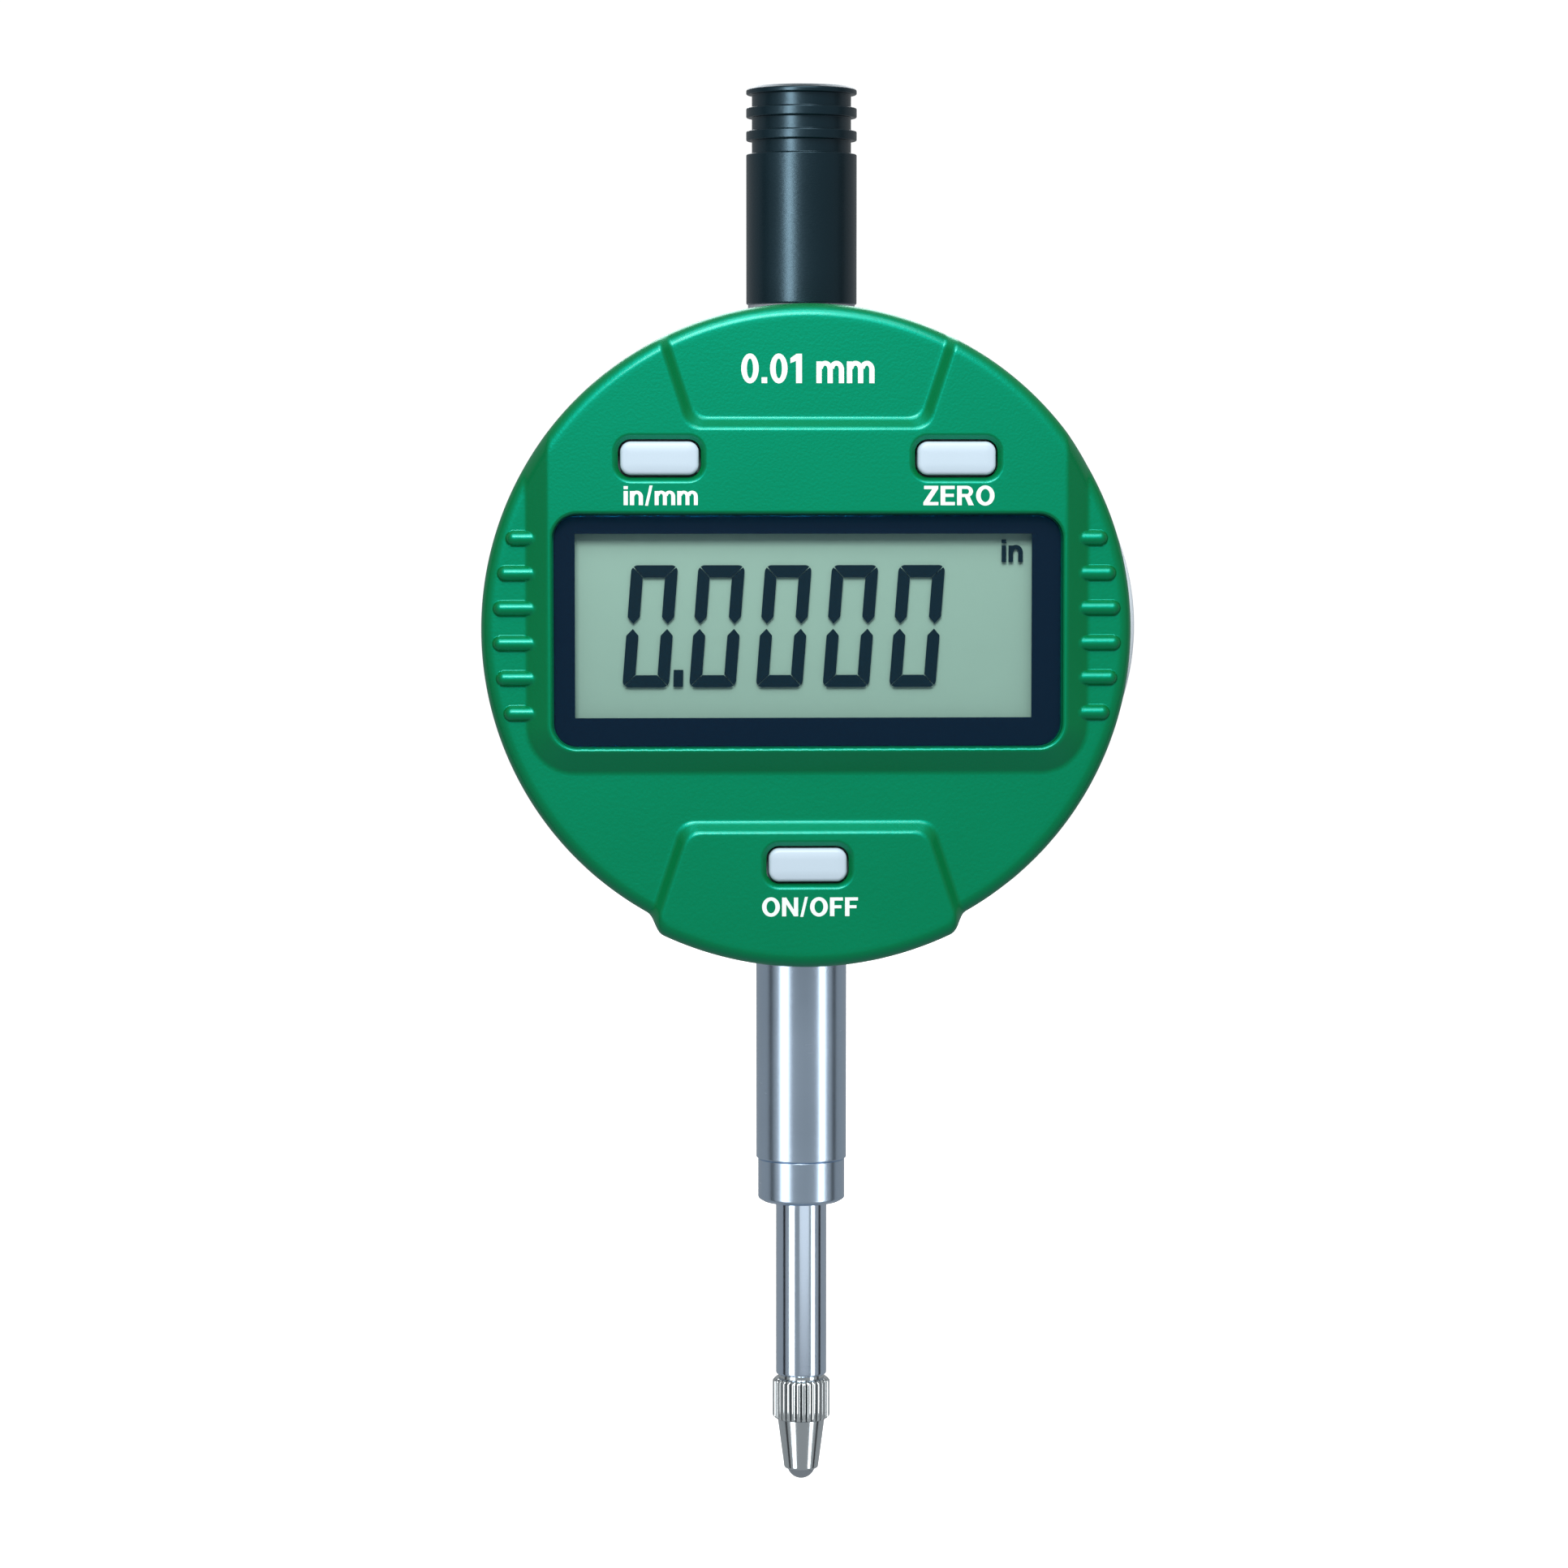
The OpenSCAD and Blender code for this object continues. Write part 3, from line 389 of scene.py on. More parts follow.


# Painted shade: the base colour is dark in each groove of the knurl and pale on its lands, so the grooves
# look shaded
knurl_steel_groove_shade = Finish("knurl_steel_groove_shade", Metallic=1.0)
across, deep = (knurl_steel_groove_shade.node("SeparateXYZ", {}, {0: knurl_steel_groove_shade.place}, output=i) for i in (0, 1))
around = deep.sum("ARCTAN2", deep, across) * (knurl_teeth / (2 * math.pi))
off_groove = around.sum("ABSOLUTE", around.sum("FRACT", around) - groove_at)
land = knurl_steel_groove_shade.node("MapRange", {}, {"Value": off_groove, "From Min": 0.07, "From Max": 0.2})
knurl_steel_groove_shade.feed(base_color=knurl_steel_groove_shade.between(land, srgb(48, 56, 62), srgb(232, 238, 240)),
                   roughness=0.3 - land * 0.18)

chamfer_steps = [(0, knurl_rim), (0.1, 0.16), (0.2, 0.07), (knurl_rim, 0)]
knurl_rings = [knurl_ring(knurl_bottom + up, knurl_r - back) for up, back in chamfer_steps]
knurl_rings += [knurl_ring(knurl_top - up, knurl_r - back) for up, back in reversed(chamfer_steps)]
knurl = loft("contact_knurl", knurl_rings, sharp=50)

point_neck_r = spindle_r - 0.2
neck = rod("contact_neck", (point_neck_r, knurl_top - 0.1, 0), (point_neck_r, spindle_low.z, 0.03))

cone_top_r, cone_tip_r, cone_length = 2.1, 1.5, 4.5
cone = rod("contact_cone", (cone_tip_r, knurl_bottom - cone_length, 0.18), (cone_top_r, knurl_bottom, 0))
for piece, steel in ((knurl, knurl_steel_groove_shade), (neck, contact_steel), (cone, contact_steel)):
    settle(piece, steel, "steel_polished", "spindle_assembly", "contact_point")

ball_low, ball_high = span("measuring_ball")
ball_r = (ball_high.z - ball_low.z) / 2
ball_steps = 40
ball_turns = [math.pi * k / ball_steps for k in range(ball_steps + 1)]
ball = lathe("carbide_ball", [(ball_r * math.sin(a), ball_low.z + ball_r - ball_r * math.cos(a))
                              for a in ball_turns], turns=80)
settle(ball, carbide, "ball_carbide", "spindle_assembly", "measuring_ball")

# ---- Top cap ------------------------------------------------------------------------------------
# The cap is turned from aluminium and black anodised. It screws on to the upper bush's neck and keeps
# dust off the spindle's top end. Three grooves give the fingers a hold.

anodised = textured("black_anodised", (0, 0.005, 0.008), 0.33, size=0.11, depth=0.009, tint=0.15, spread=0.06,
                    stretch=(3, 3, 1), **{"Specular IOR Level": 0.7, "Specular Tint": (0.5, 0.8, 1, 1)})

cap_low, cap_high = span("top_cap")
cap_r = cap_high.x
cap_lip = 0.7
groove_soft = 0.13
groove_width, groove_depth, ring_width = 1.15, 0.5, 0.86
cap_bore, cap_neck_r, cap_neck, cap_top = spindle_r + 0.5, 3.4, 5.5, 1.15
cap_outline = [(0, cap_high.z, 0), (cap_r - 0.45, cap_high.z, 0.3), (cap_r, cap_high.z - 0.3, 0.2)]
for i in range(3):
    top = cap_high.z - cap_lip - i * (groove_width + ring_width)
    bottom = top - groove_width
    cap_outline += [(cap_r, top, groove_soft), (cap_r - groove_depth, top, 0.08),
                    (cap_r - groove_depth, bottom, 0.08), (cap_r, bottom, groove_soft)]
cap_outline += [(cap_r, cap_low.z, 0.15), (cap_neck_r, cap_low.z, 0), (cap_neck_r, cap_low.z + cap_neck, 0),
                (cap_bore, cap_low.z + cap_neck, 0), (cap_bore, cap_high.z - cap_top, 0.3),
                (0, cap_high.z - cap_top, 0)]
cap = lathe("grooved_cap", rounded(cap_outline))
settle(cap, anodised, "cap_black", "housing", "top_cap")

# ---- Case and back cover ------------------------------------------------------------------------
# The case is a die-cast ring painted silver-grey, with a collar for the stem, one for the upper bush
# and a slot for the battery drawer. The back cover is cast with its mounting lug and held by 4 screws.

cast_paint = textured("cast_paint", srgb(174, 180, 187), 0.42, size=0.25, depth=0.006, tint=0.05,
                      Metallic=0.55)


def softened(name, node, width, pick):
    """A copy of a CAD node's mesh with its picked sharp edges rounded."""
    shape = bmesh.new()
    shape.from_mesh(frame["nodes"][node].data)
    bmesh.ops.remove_doubles(shape, verts=shape.verts, dist=2e-6)
    bmesh.ops.dissolve_limit(shape, angle_limit=math.radians(0.6), verts=shape.verts, edges=shape.edges)
    edges = [e for e in shape.edges if len(e.link_faces) == 2 and e.calc_face_angle(0) > math.radians(40)
             and pick((e.verts[0].co + e.verts[1].co) / 2 / MM)]
    bmesh.ops.bevel(shape, geom=edges, offset=width * MM, segments=3, profile=0.5, affect="EDGES",
                    clamp_overlap=True)
    obj = shown(name, shape)
    obj.modifiers.new("flat_faces_stay_flat", "WEIGHTED_NORMAL").keep_sharp = True
    return obj


case_high = span("case")[1]
case_r = case_high.x
cover_joint = -span("front_cover")[1].y


def from_axis(p):
    """Distance of a point from the line through the head's centre towards the reader."""
    return math.hypot(p.x, p.z - head_z)


case = softened("cast_case", "case", 0.3, lambda p: abs(from_axis(p) - case_r) < 0.05
                and (abs(p.y - case_high.y) < 0.01 or abs(p.y + cover_joint) < 0.01))
settle(case, cast_paint, "case_metal", "housing", "case")

back_face = span("back_cover")[0].y
lug_foot_r = 10
back = softened("cast_back", "back_cover", 0.4, lambda p: from_axis(p) > case_r - 0.5
                or p.y > back_face + 2.4 or abs(from_axis(p) - lug_foot_r) < 0.1)
settle(back, cast_paint, "case_metal", "housing", "back_cover")

zinc = textured("zinc_plate", srgb(196, 198, 200), 0.26, size=0.1, depth=0.001, Metallic=1.0)


def finished(finish, *nodes):
    """CAD nodes that keep their shape and get their finish."""
    for node in nodes:
        for slot in frame["nodes"][node].material_slots:
            slot.material = finish.material


finished(zinc, "back_screws", "cover_screws")

# ---- Battery drawer and cell --------------------------------------------------------------------
# The drawer is moulded in pale grey plastic. Its curved lip closes the slot in the case, and its tray
# carries a pressed steel button cell. It slides out to the reader's right.

pale_plastic = textured("pale_plastic", srgb(226, 236, 243), 0.42, size=0.18, depth=0.004, tint=0.03)
cell_steel = textured("cell_steel", srgb(205, 205, 202), 0.24, size=0.15, depth=0.001, Metallic=1.0)

drawer = softened("drawer_moulding", "battery_drawer", 0.35, lambda p: from_axis(p) > case_r + 0.5)
settle(drawer, pale_plastic, "drawer_pale", "drawer", "battery_drawer")
finished(cell_steel, "button_cell")

# ---- Front cover --------------------------------------------------------------------------------
# One green moulding: a raised face round the display, a sunk badge panel above it, a raised panel for
# the lowest key, and six grip ribs on each side. It drops over the case's spigot.

cover_finish = textured(
    "green_moulding", (0, 0.12, 0.006), 0.46, size=0.25, depth=0.012, tint=0.04, spread=0.05,
    **{"IOR": 1.8, "Specular IOR Level": 1.0, "Specular Tint": (0, 0.93, 0.8, 1), "Coat Weight": 0.4,
       "Coat Roughness": 0.17, "Coat IOR": 1.38})

head_r = case_r + 0.3
face_front, low_front = 13.0, 11.6
badge_drop, panel_rise = 0.8, 0.8
rim = 1.2
bulge, bulge_end, bulge_ease = 1.1, 28.8, 2.8
skirt_r = head_r - 1.7
ceiling = 10.2
gap = 0.15
raised_x, raised_z, raised_r, slope = 22.25, -10.3, 2.3, 1.9
badge_z, badge_x, badge_lean = 17.3, 10.3, 0.33
panel_z, panel_x, panel_lean = -16.5, 10.85, 0.335
panel_slope = 0.85
rib_count, rib_pitch, rib_mid, rib_r, rib_start = 6, 3, 0.4, 0.65, 23.447
rib_depth = low_front - 0.1
lens_w, lens_h, lens_r = lens_high.x - lens_low.x, lens_high.z - lens_low.z, 2.0
lens_front, lens_back, lens_chamfer = -lens_low.y, -lens_high.y, 0.15
key_w, key_h, key_r, key_gap, key_chamfer, key_proud = 6.7, 2.85, 0.9, 0.2, 0.4, 0.3
panel_front = low_front + panel_rise
keys = {"in_mm": (-12.7, 14.75, face_front), "zero": (12.7, 14.75, face_front),
        "on_off": (0, -20.15, panel_front)}


def on_face(x, z, depth):
    """A point in the row frame, from a place on the face and its depth towards the reader."""
    return (x, -depth, head_z + z)


def laid(line, depth):
    """A line of the face at one depth."""
    return [on_face(x, z, depth) for x, z in line]


def grown(size, by):
    """The width, height and corner radius of a rounded rectangle with a margin round it."""
    return size[0] + 2 * by, size[1] + 2 * by, size[2] + by


lens_hole = grown((lens_w, lens_h, lens_r), gap)
key_hole = grown((key_w, key_h, key_r), key_gap)


def smooth_max(a, b, k):
    return np.maximum(a, b) + np.maximum(k - np.abs(a - b), 0) ** 2 / (4 * k)


def soft_step(t, k):
    """Goes from 0 to 1 as t does, with its two corners rounded."""
    return -smooth_max(-smooth_max(t, 0, k), -1, k)


def from_corner(qx, qz, radius):
    """Distance outside a rounded corner, from the distances past its two sides."""
    qx, qz = qx + radius, qz + radius
    return np.hypot(np.maximum(qx, 0), np.maximum(qz, 0)) + np.minimum(np.maximum(qx, qz), 0) - radius


def from_box(x, z, size):
    return from_corner(np.abs(x) - size[0] / 2, np.abs(z) - size[1] / 2, size[2])


def from_raised(x, z):
    """Distance outside the raised face, which runs out over the rim at the top."""
    return from_corner(np.abs(x) - raised_x, raised_z - z, raised_r)


def from_wedge(x, z, edge, half, lean):
    """Distance outside a panel that starts at an edge and widens away from it."""
    side = (np.abs(x) - half - lean * (z - edge)) / math.hypot(1, lean)
    return smooth_max(edge - z, side, 1.2)


def from_badge(x, z):
    return from_wedge(x, z, badge_z, badge_x, badge_lean)


def from_panel(x, z):
    return from_wedge(x, -z, -panel_z, panel_x, panel_lean)


def from_key(x, z, place):
    return from_box(x - place[0], z - place[1], key_hole)


def rim_radius(x, z):
    """The cover's radius in a direction: it bulges below, round the lowest key's panel."""
    from_down = np.degrees(np.arctan2(np.abs(x), -z))
    return head_r + bulge * soft_step((bulge_end - from_down) / bulge_ease, 0.3)


def rib_end(z):
    return math.sqrt((head_r - 1) ** 2 - z * z) - rib_r


rib_heights = [rib_mid + (i - (rib_count - 1) / 2) * rib_pitch for i in range(rib_count)]


def face_depth(x, z):
    """Depth of the cover's front, from the spindle's axis towards the reader."""
    h = low_front + (face_front - low_front) * soft_step(1 - from_raised(x, z) / slope, 0.08)
    h = h - badge_drop * soft_step(-from_badge(x, z) / panel_slope, 0.25)
    h = h + panel_rise * soft_step(-from_panel(x, z) / panel_slope, 0.25)
    for height in rib_heights:
        along = np.clip(np.abs(x), rib_start, rib_end(height))
        away = np.hypot(np.abs(x) - along, z - height)
        crest = np.sqrt(np.maximum(rib_r ** 2 - away ** 2, 0)) - np.maximum(away - rib_r, 0) * 2
        h = smooth_max(h, rib_depth + crest, 0.1)
    for place in keys.values():
        h = h - smooth_max(key_chamfer - from_key(x, z, place), 0, 0.15)
    h = h - smooth_max(lens_chamfer - from_box(x, z, lens_hole), 0, 0.1)
    inside = np.clip(rim - (rim_radius(x, z) - np.hypot(x, z)), 0, rim)
    return h - (rim - np.sqrt(rim ** 2 - inside ** 2))


def outline(size, x=0.0, z=0.0, steps=8, spacing=None):
    """A rounded rectangle as a closed line of points. With a spacing, its straights are divided too."""
    width, height, radius = size[0], size[1], max(size[2], 0.001)
    points = []
    for side_x, side_z, start in ((1, 1, 0), (-1, 1, 90), (-1, -1, 180), (1, -1, 270)):
        for k in range(steps + 1):
            a = math.radians(start + 90 * k / steps)
            points.append((x + side_x * (width / 2 - radius) + radius * math.cos(a),
                           z + side_z * (height / 2 - radius) + radius * math.sin(a)))
    if not spacing:
        return points
    out = []
    for i, point in enumerate(points):
        a, b = np.array(point), np.array(points[(i + 1) % len(points)])
        n = max(1, round(float(np.hypot(*(b - a))) / spacing))
        out += [tuple(a + (b - a) * k / n) for k in range(n)]
    return out


def circle_of(radius, n):
    turns = [2 * math.pi * k / n for k in range(n)]
    return [(radius * math.cos(a), radius * math.sin(a)) for a in turns]


def level_lines(distance, levels, low, high, spacing=0.17):
    """Points on a few level lines of a distance function, found by stepping a grid's points on to them."""
    xs, zs = np.meshgrid(np.arange(low[0], high[0], spacing), np.arange(low[1], high[1], spacing))
    found = []
    for level in levels:
        x, z = xs.ravel().copy(), zs.ravel().copy()
        near = np.abs(distance(x, z) - level) < spacing * 0.75
        x, z = x[near], z[near]
        for _ in range(4):
            d = distance(x, z) - level
            gx = (distance(x + 0.01, z) - distance(x - 0.01, z)) / 0.02
            gz = (distance(x, z + 0.01) - distance(x, z - 0.01)) / 0.02
            size = np.maximum(gx * gx + gz * gz, 0.2)
            x, z = x - d * gx / size, z - d * gz / size
        found.append((np.column_stack([x, z]), spacing * 0.6))
    return found


def thinned(fixed, groups):
    """Points of each group in turn that aren't too close to those kept before them."""
    cell = 0.5
    kept, grid = [], {}

    def crowded(x, z, apart):
        i, j = int(x // cell), int(z // cell)
        reach = int(apart // cell) + 1
        return any((p[0] - x) ** 2 + (p[1] - z) ** 2 < apart * apart for a in range(i - reach, i + reach + 1)
                   for b in range(j - reach, j + reach + 1) for p in grid.get((a, b), ()))

    def keep(x, z):
        grid.setdefault((int(x // cell), int(z // cell)), []).append((x, z))

    for x, z in fixed:
        keep(x, z)
    for points, apart in groups:
        for x, z in points:
            if not crowded(x, z, apart):
                keep(x, z)
                kept.append((float(x), float(z)))
    return kept


def filled(loops, free, open_at):
    """Triangles between an outer loop and its holes, through some free points, and each loop's numbers."""
    points, edges = [], []
    for loop in loops:
        start = len(points)
        points += loop
        edges += [(start + k, start + (k + 1) % len(loop)) for k in range(len(loop))]
    points += free
    places = [Vector(p) for p in points]
    made, _, triangles, sources, *_ = geometry.delaunay_2d_cdt(places, edges, [], 1, 1e-6)
    number = {old: new for new, olds in enumerate(sources) for old in olds}
    numbers, start = [], 0
    for loop in loops:
        numbers.append([number[start + k] for k in range(len(loop))])
        start += len(loop)
    made = np.array([tuple(p) for p in made])
    middles = made[np.array(triangles)].mean(axis=1)
    keep = ~open_at(middles[:, 0], middles[:, 1])
    return made, [t for t, k in zip(triangles, keep) if k], numbers


rim_points = 720
pocket_loop = outline(lens_hole, steps=12, spacing=0.3)
key_loops = {n: outline(key_hole, x, z, spacing=0.18) for n, (x, z, _) in keys.items()}
directions = np.array(circle_of(1, rim_points))
rim_loop = directions * rim_radius(directions[:, 0], directions[:, 1])[:, None]

# Points along the front's edges, and the least distance that each group keeps
wanted = []
for e in (0.03, 0.12, 0.27, 0.5, 0.8, 1.15, 1.5):
    wanted.append((directions * (rim_radius(directions[:, 0], directions[:, 1]) - e)[:, None], 0.03))
for x, z, _ in keys.values():
    wanted += [(outline(grown(key_hole, e), x, z, spacing=0.2), 0.07) for e in (0.1, 0.2, 0.3, 0.42, 0.55)]
wanted += [(outline(grown(lens_hole, e), steps=12, spacing=0.3), 0.05) for e in (0.07, 0.15, 0.25)]
rib_lines = (0.2, 0.38, 0.5, 0.59, 0.65, 0.76)
for height in rib_heights:
    for side in (-1, 1):
        end = rib_end(height)
        lines = [(side * x, height + off) for off in (0, *[way * r for r in rib_lines for way in (-1, 1)])
                 for x in np.arange(rib_start, end, 0.2)]
        caps = [(side * (end + r * math.cos(a)), height + r * math.sin(a)) for r in rib_lines
                for a in np.linspace(-math.pi / 2, math.pi / 2, 15)]
        wanted.append((lines + caps, 0.055))
lines_at = (-0.08, 0.0, 0.08, 0.2, 0.95, 1.7, 1.82, 1.9, 1.98, -0.3, 2.2)
wanted += level_lines(from_raised, lines_at, (-28, -14), (28, 22))
lines_at = (-1.05, -0.85, -0.65, -0.42, -0.2, 0.0, 0.2, -1.4, 0.5)
wanted += level_lines(from_badge, lines_at, (-16, 16), (16, 28))
wanted += level_lines(from_panel, lines_at, (-17, -30), (17, -15))
grid = [(0.62 * (i + 0.5 * (j % 2)), 0.54 * j) for i in range(-48, 49) for j in range(-56, 57)]
wanted.append((grid, 0.45))


def in_keys(x, z, spare=0.0):
    return np.logical_or.reduce([from_key(x, z, place) < spare for place in keys.values()])


def open_front(x, z, spare=0.0):
    """True in the window and the key holes of the cover."""
    return in_keys(x, z, spare) | (from_box(x, z, lens_hole) < spare)


def within_cover(points):
    points = np.asarray(points, float)
    x, z = points.T
    return points[(np.hypot(x, z) < rim_radius(x, z) - 0.02) & ~open_front(x, z, 0.04)]


front_loops = [[tuple(p) for p in rim_loop], pocket_loop, *key_loops.values()]
fixed_points = [p for loop in front_loops for p in loop]
free_points = thinned(fixed_points, [(within_cover(points), apart) for points, apart in wanted])
front_points, front_faces, front_numbers = filled(front_loops, free_points, open_front)

step = 0.004
fx, fz = front_points.T
front_depth = face_depth(fx, fz)
slope_x = (face_depth(fx + step, fz) - face_depth(fx - step, fz)) / (2 * step)
slope_z = (face_depth(fx, fz + step) - face_depth(fx, fz - step)) / (2 * step)
at_rim = np.hypot(fx, fz) > rim_radius(fx, fz) - 0.008
front_normals = np.column_stack([-slope_x, -np.ones(len(fx)), -slope_z])
front_normals[at_rim] = np.column_stack([fx, np.zeros(len(fx)), fz])[at_rim]
front_normals /= np.linalg.norm(front_normals, axis=1)[:, None]

cover_points = [on_face(x, z, d) for (x, z), d in zip(front_points, front_depth)]
cover_faces = [tuple(f) for f in front_faces]


def placed(loop, depth):
    """Adds a loop of the cover at one depth and gives its points' numbers."""
    start = len(cover_points)
    cover_points.extend(laid(loop, depth))
    return list(range(start, start + len(loop)))


def banded(*loops):
    """Adds the cover's walls between loops that follow each other."""
    for first, second in zip(loops, loops[1:]):
        cover_faces.extend(walls(first, second))


skirt_loop = [tuple(p) for p in directions * skirt_r]
back_edge = 0.15
outer = [front_numbers[0], *[placed(front_loops[0], depth) for depth in (9.5, 7.5, cover_joint + back_edge)],
         placed([tuple(p) for p in rim_loop * (1 - back_edge / head_r)], cover_joint),
         placed(skirt_loop, cover_joint), placed(skirt_loop, ceiling)]
banded(*outer)
window_w, window_h = lens_w - 2.7, lens_h - 2.5
holder_w, holder_h = 45.0, 21.1


def alike(width, height):
    """The pocket's loop squeezed on to a plain rectangle, point for point."""
    shares = [(x / lens_hole[0], z / lens_hole[1]) for x, z in pocket_loop]
    return [(x / max(abs(x), abs(z)) * width / 2, z / max(abs(x), abs(z)) * height / 2) for x, z in shares]


ledge_front, ledge_back = lens_back - 0.2, lens_back - 0.9
window_loop, holder_loop = alike(window_w, window_h), alike(holder_w, holder_h)
pocket = [front_numbers[1], placed(pocket_loop, ledge_front), placed(window_loop, ledge_front),
          placed(window_loop, ledge_back), placed(holder_loop, ledge_back), placed(holder_loop, ceiling)]
banded(*pocket)
key_ends = [placed(loop, ceiling) for loop in key_loops.values()]
for on_front, end in zip(front_numbers[2:], key_ends):
    banded(on_front, end)

_, ceiling_faces, ceiling_numbers = filled(
    [skirt_loop, holder_loop, *key_loops.values()], [],
    lambda x, z: (np.maximum(np.abs(x) - holder_w / 2, np.abs(z) - holder_h / 2) < 0) | in_keys(x, z))
ceiling_index = {}
for made, numbers in zip(ceiling_numbers, [outer[-1], pocket[-1], *key_ends]):
    ceiling_index.update(zip(made, numbers))
cover_faces += [tuple(ceiling_index[i] for i in f) for f in ceiling_faces]

# The front's faces take the exact normals of its shape
cover = meshed("green_cover", cover_points, cover_faces, sharp=40)
near_front = kdtree.KDTree(len(front_points))
for i, point in enumerate(cover_points[:len(front_points)]):
    near_front.insert(Vector(point) * MM, i)
near_front.balance()
mesh = cover.data
normals = [tuple(n.vector) for n in mesh.corner_normals]
for face in mesh.polygons:
    found = [near_front.find(mesh.vertices[v].co) for v in face.vertices]
    if face.normal.y > -0.02 or max(away for _, _, away in found) > 1e-7:
        continue
    for corner, (_, i, _) in zip(face.loop_indices, found):
        normals[corner] = tuple(front_normals[i])
mesh.normals_split_custom_set(normals)
settle(cover, cover_finish, "cover_green", "housing", "front_cover")

cover_post, board_post = (1.9, 1.0, 5.15), (1.6, 0.8, 6.25)
posts = []
for side, z, (radius, bore, back_at) in ((19.2, 14.5, cover_post), (19.2, -14.5, cover_post),
                                         (6.6, 12.6, board_post), (14.8, -12.6, board_post)):
    profile = rounded([(bore, back_at, 0.1), (radius, back_at, 0.15), (radius, ceiling, 0),
                       (bore, ceiling, 0)])
    posts += [lathe("post", profile, lambda a, b, h, x=x, z=z: on_face(x + a, z + b, h), turns=40)
              for x in (-side, side)]


def joined(name, pieces):
    """Several mesh objects made into one."""
    shape = bmesh.new()
    for p in pieces:
        shape.from_mesh(p.data)
        bpy.data.objects.remove(p)
    return shown(name, shape)


settle(joined("cover_posts", posts), cover_finish, "cover_green", "housing", "front_cover")

# ---- Lens and mask ------------------------------------------------------------------------------
# The lens is clear acrylic, dropped into its pocket just below the raised face. A dark blue-black
# border is printed on a film behind it and frames the display.


def sheen_of(finish, straight_on=0.04):
    """Share of light that a clear sheet throws back: little straight on, and more towards its edge."""
    edge_on = finish.node("LayerWeight", {}, {"Blend": 0.5}, output="Facing")
    return edge_on ** 5 * (1 - straight_on) + straight_on


clear = Finish("clear_acrylic", **{"Base Color": (1, 1, 1), "Roughness": 0.04, "IOR": 1.49})
see_through = clear.node("BsdfTransparent", {}, {"Color": (0.985, 0.995, 0.99)})
clear.feed(normal=clear.bump(clear.noise(9), 0.004))
gloss = clear.node("BsdfGlossy", {}, {"Roughness": 0.05, "Color": (0.01, 0.32, 0.62)})
clear.surface(clear.node("MixShader", {}, {0: sheen_of(clear), 1: see_through, 2: gloss}))


def block(name, width, height, radius, back, front, x=0.0, z=0.0, soft=0.15, crown=0.0, steps=8, base=()):
    """A rounded block on the face: soft front edges, a crowned top, and optional wider steps behind it."""
    size = (width, height, radius)
    sections = [*base, (*size, back)]
    for k in range(6):
        a = math.pi / 2 * k / 5
        sections.append((*grown(size, soft * (math.cos(a) - 1)), front - crown - soft * (1 - math.sin(a))))
    reach = 0.6 * (height / 2 - soft)
    for k in range(1, 7 if crown else 1):
        w, h, r = grown(size, -soft - reach * k / 6)
        sections.append((w, h, max(r, 0.1), front - crown * (1 - k / 6) ** 2))
    return loft(name, [laid(outline(section, x, z, steps), section[3]) for section in sections])


lens = block("acrylic_lens", lens_w, lens_h, lens_r, lens_back + 0.02, lens_front, soft=0.12)
settle(lens, clear, "lens_clear", "housing", "lens")

mask_ink = textured("mask_ink", srgb(0, 12, 34), 0.6, size=0.3, depth=0.001, tint=0.05,
                    **{"Specular IOR Level": 0.1})
finished(mask_ink, "lens_mask")

# ---- Liquid crystal display ---------------------------------------------------------------------
# Two sheets of glass with a grey-green reflector behind them. The switched segments sit between the
# sheets, so they throw a faint shadow on the reflector.

reflector = textured("display_reflector", srgb(158, 187, 175), 0.55, size=0.08, depth=0.002, tint=0.02,
                     Metallic=0.1)
segment_ink = textured("switched_segments", srgb(8, 26, 34), 0.4, size=0.3, depth=0.0005, tint=0.02,
                       **{"Specular IOR Level": 0.15})
display_glass = Finish("display_glass", **{"Base Color": (0.9, 0.95, 0.93), "Roughness": 0.05, "IOR": 1.5})
display_glass.feed(normal=display_glass.bump(display_glass.noise(2), 0.001))
display_glass.surface(display_glass.node("MixShader", {}, {
    0: sheen_of(display_glass, 0.017),
    1: display_glass.node("BsdfTransparent", {}, {"Color": (0.98, 1, 0.99)}),
    2: display_glass.node("BsdfGlossy", {}, {"Roughness": 0.1}),
}))

lcd_low, lcd_high = span("lcd_glass")
lcd_w, lcd_h = lcd_high.x - lcd_low.x, lcd_high.z - lcd_low.z
lcd_front, lcd_back = -lcd_low.y, -lcd_high.y
sheet_t = 0.35
for name, finish, back, front in (
        ("display_reflector_plate", reflector, lcd_back, lcd_front - sheet_t),
        ("display_front_sheet", display_glass, lcd_front - sheet_t + 0.03, lcd_front - 0.03)):
    settle(block(name, lcd_w, lcd_h, 0.05, back, front, soft=0.02, steps=2),
           finish, "lcd", "housing", "lcd_glass")

digit_w, digit_h, bar, lean = 3.9, 10.4, 1.05, 0.078
digit_pitch, digit_first, digit_z = 5.745, -13.49, 0.34
corner, mitre = 0.5, 0.1


def arc(cx, cz, radius, first, last, n=4):
    return [(cx + radius * math.cos(math.radians(first + (last - first) * k / n)),
             cz + radius * math.sin(math.radians(first + (last - first) * k / n))) for k in range(n + 1)]


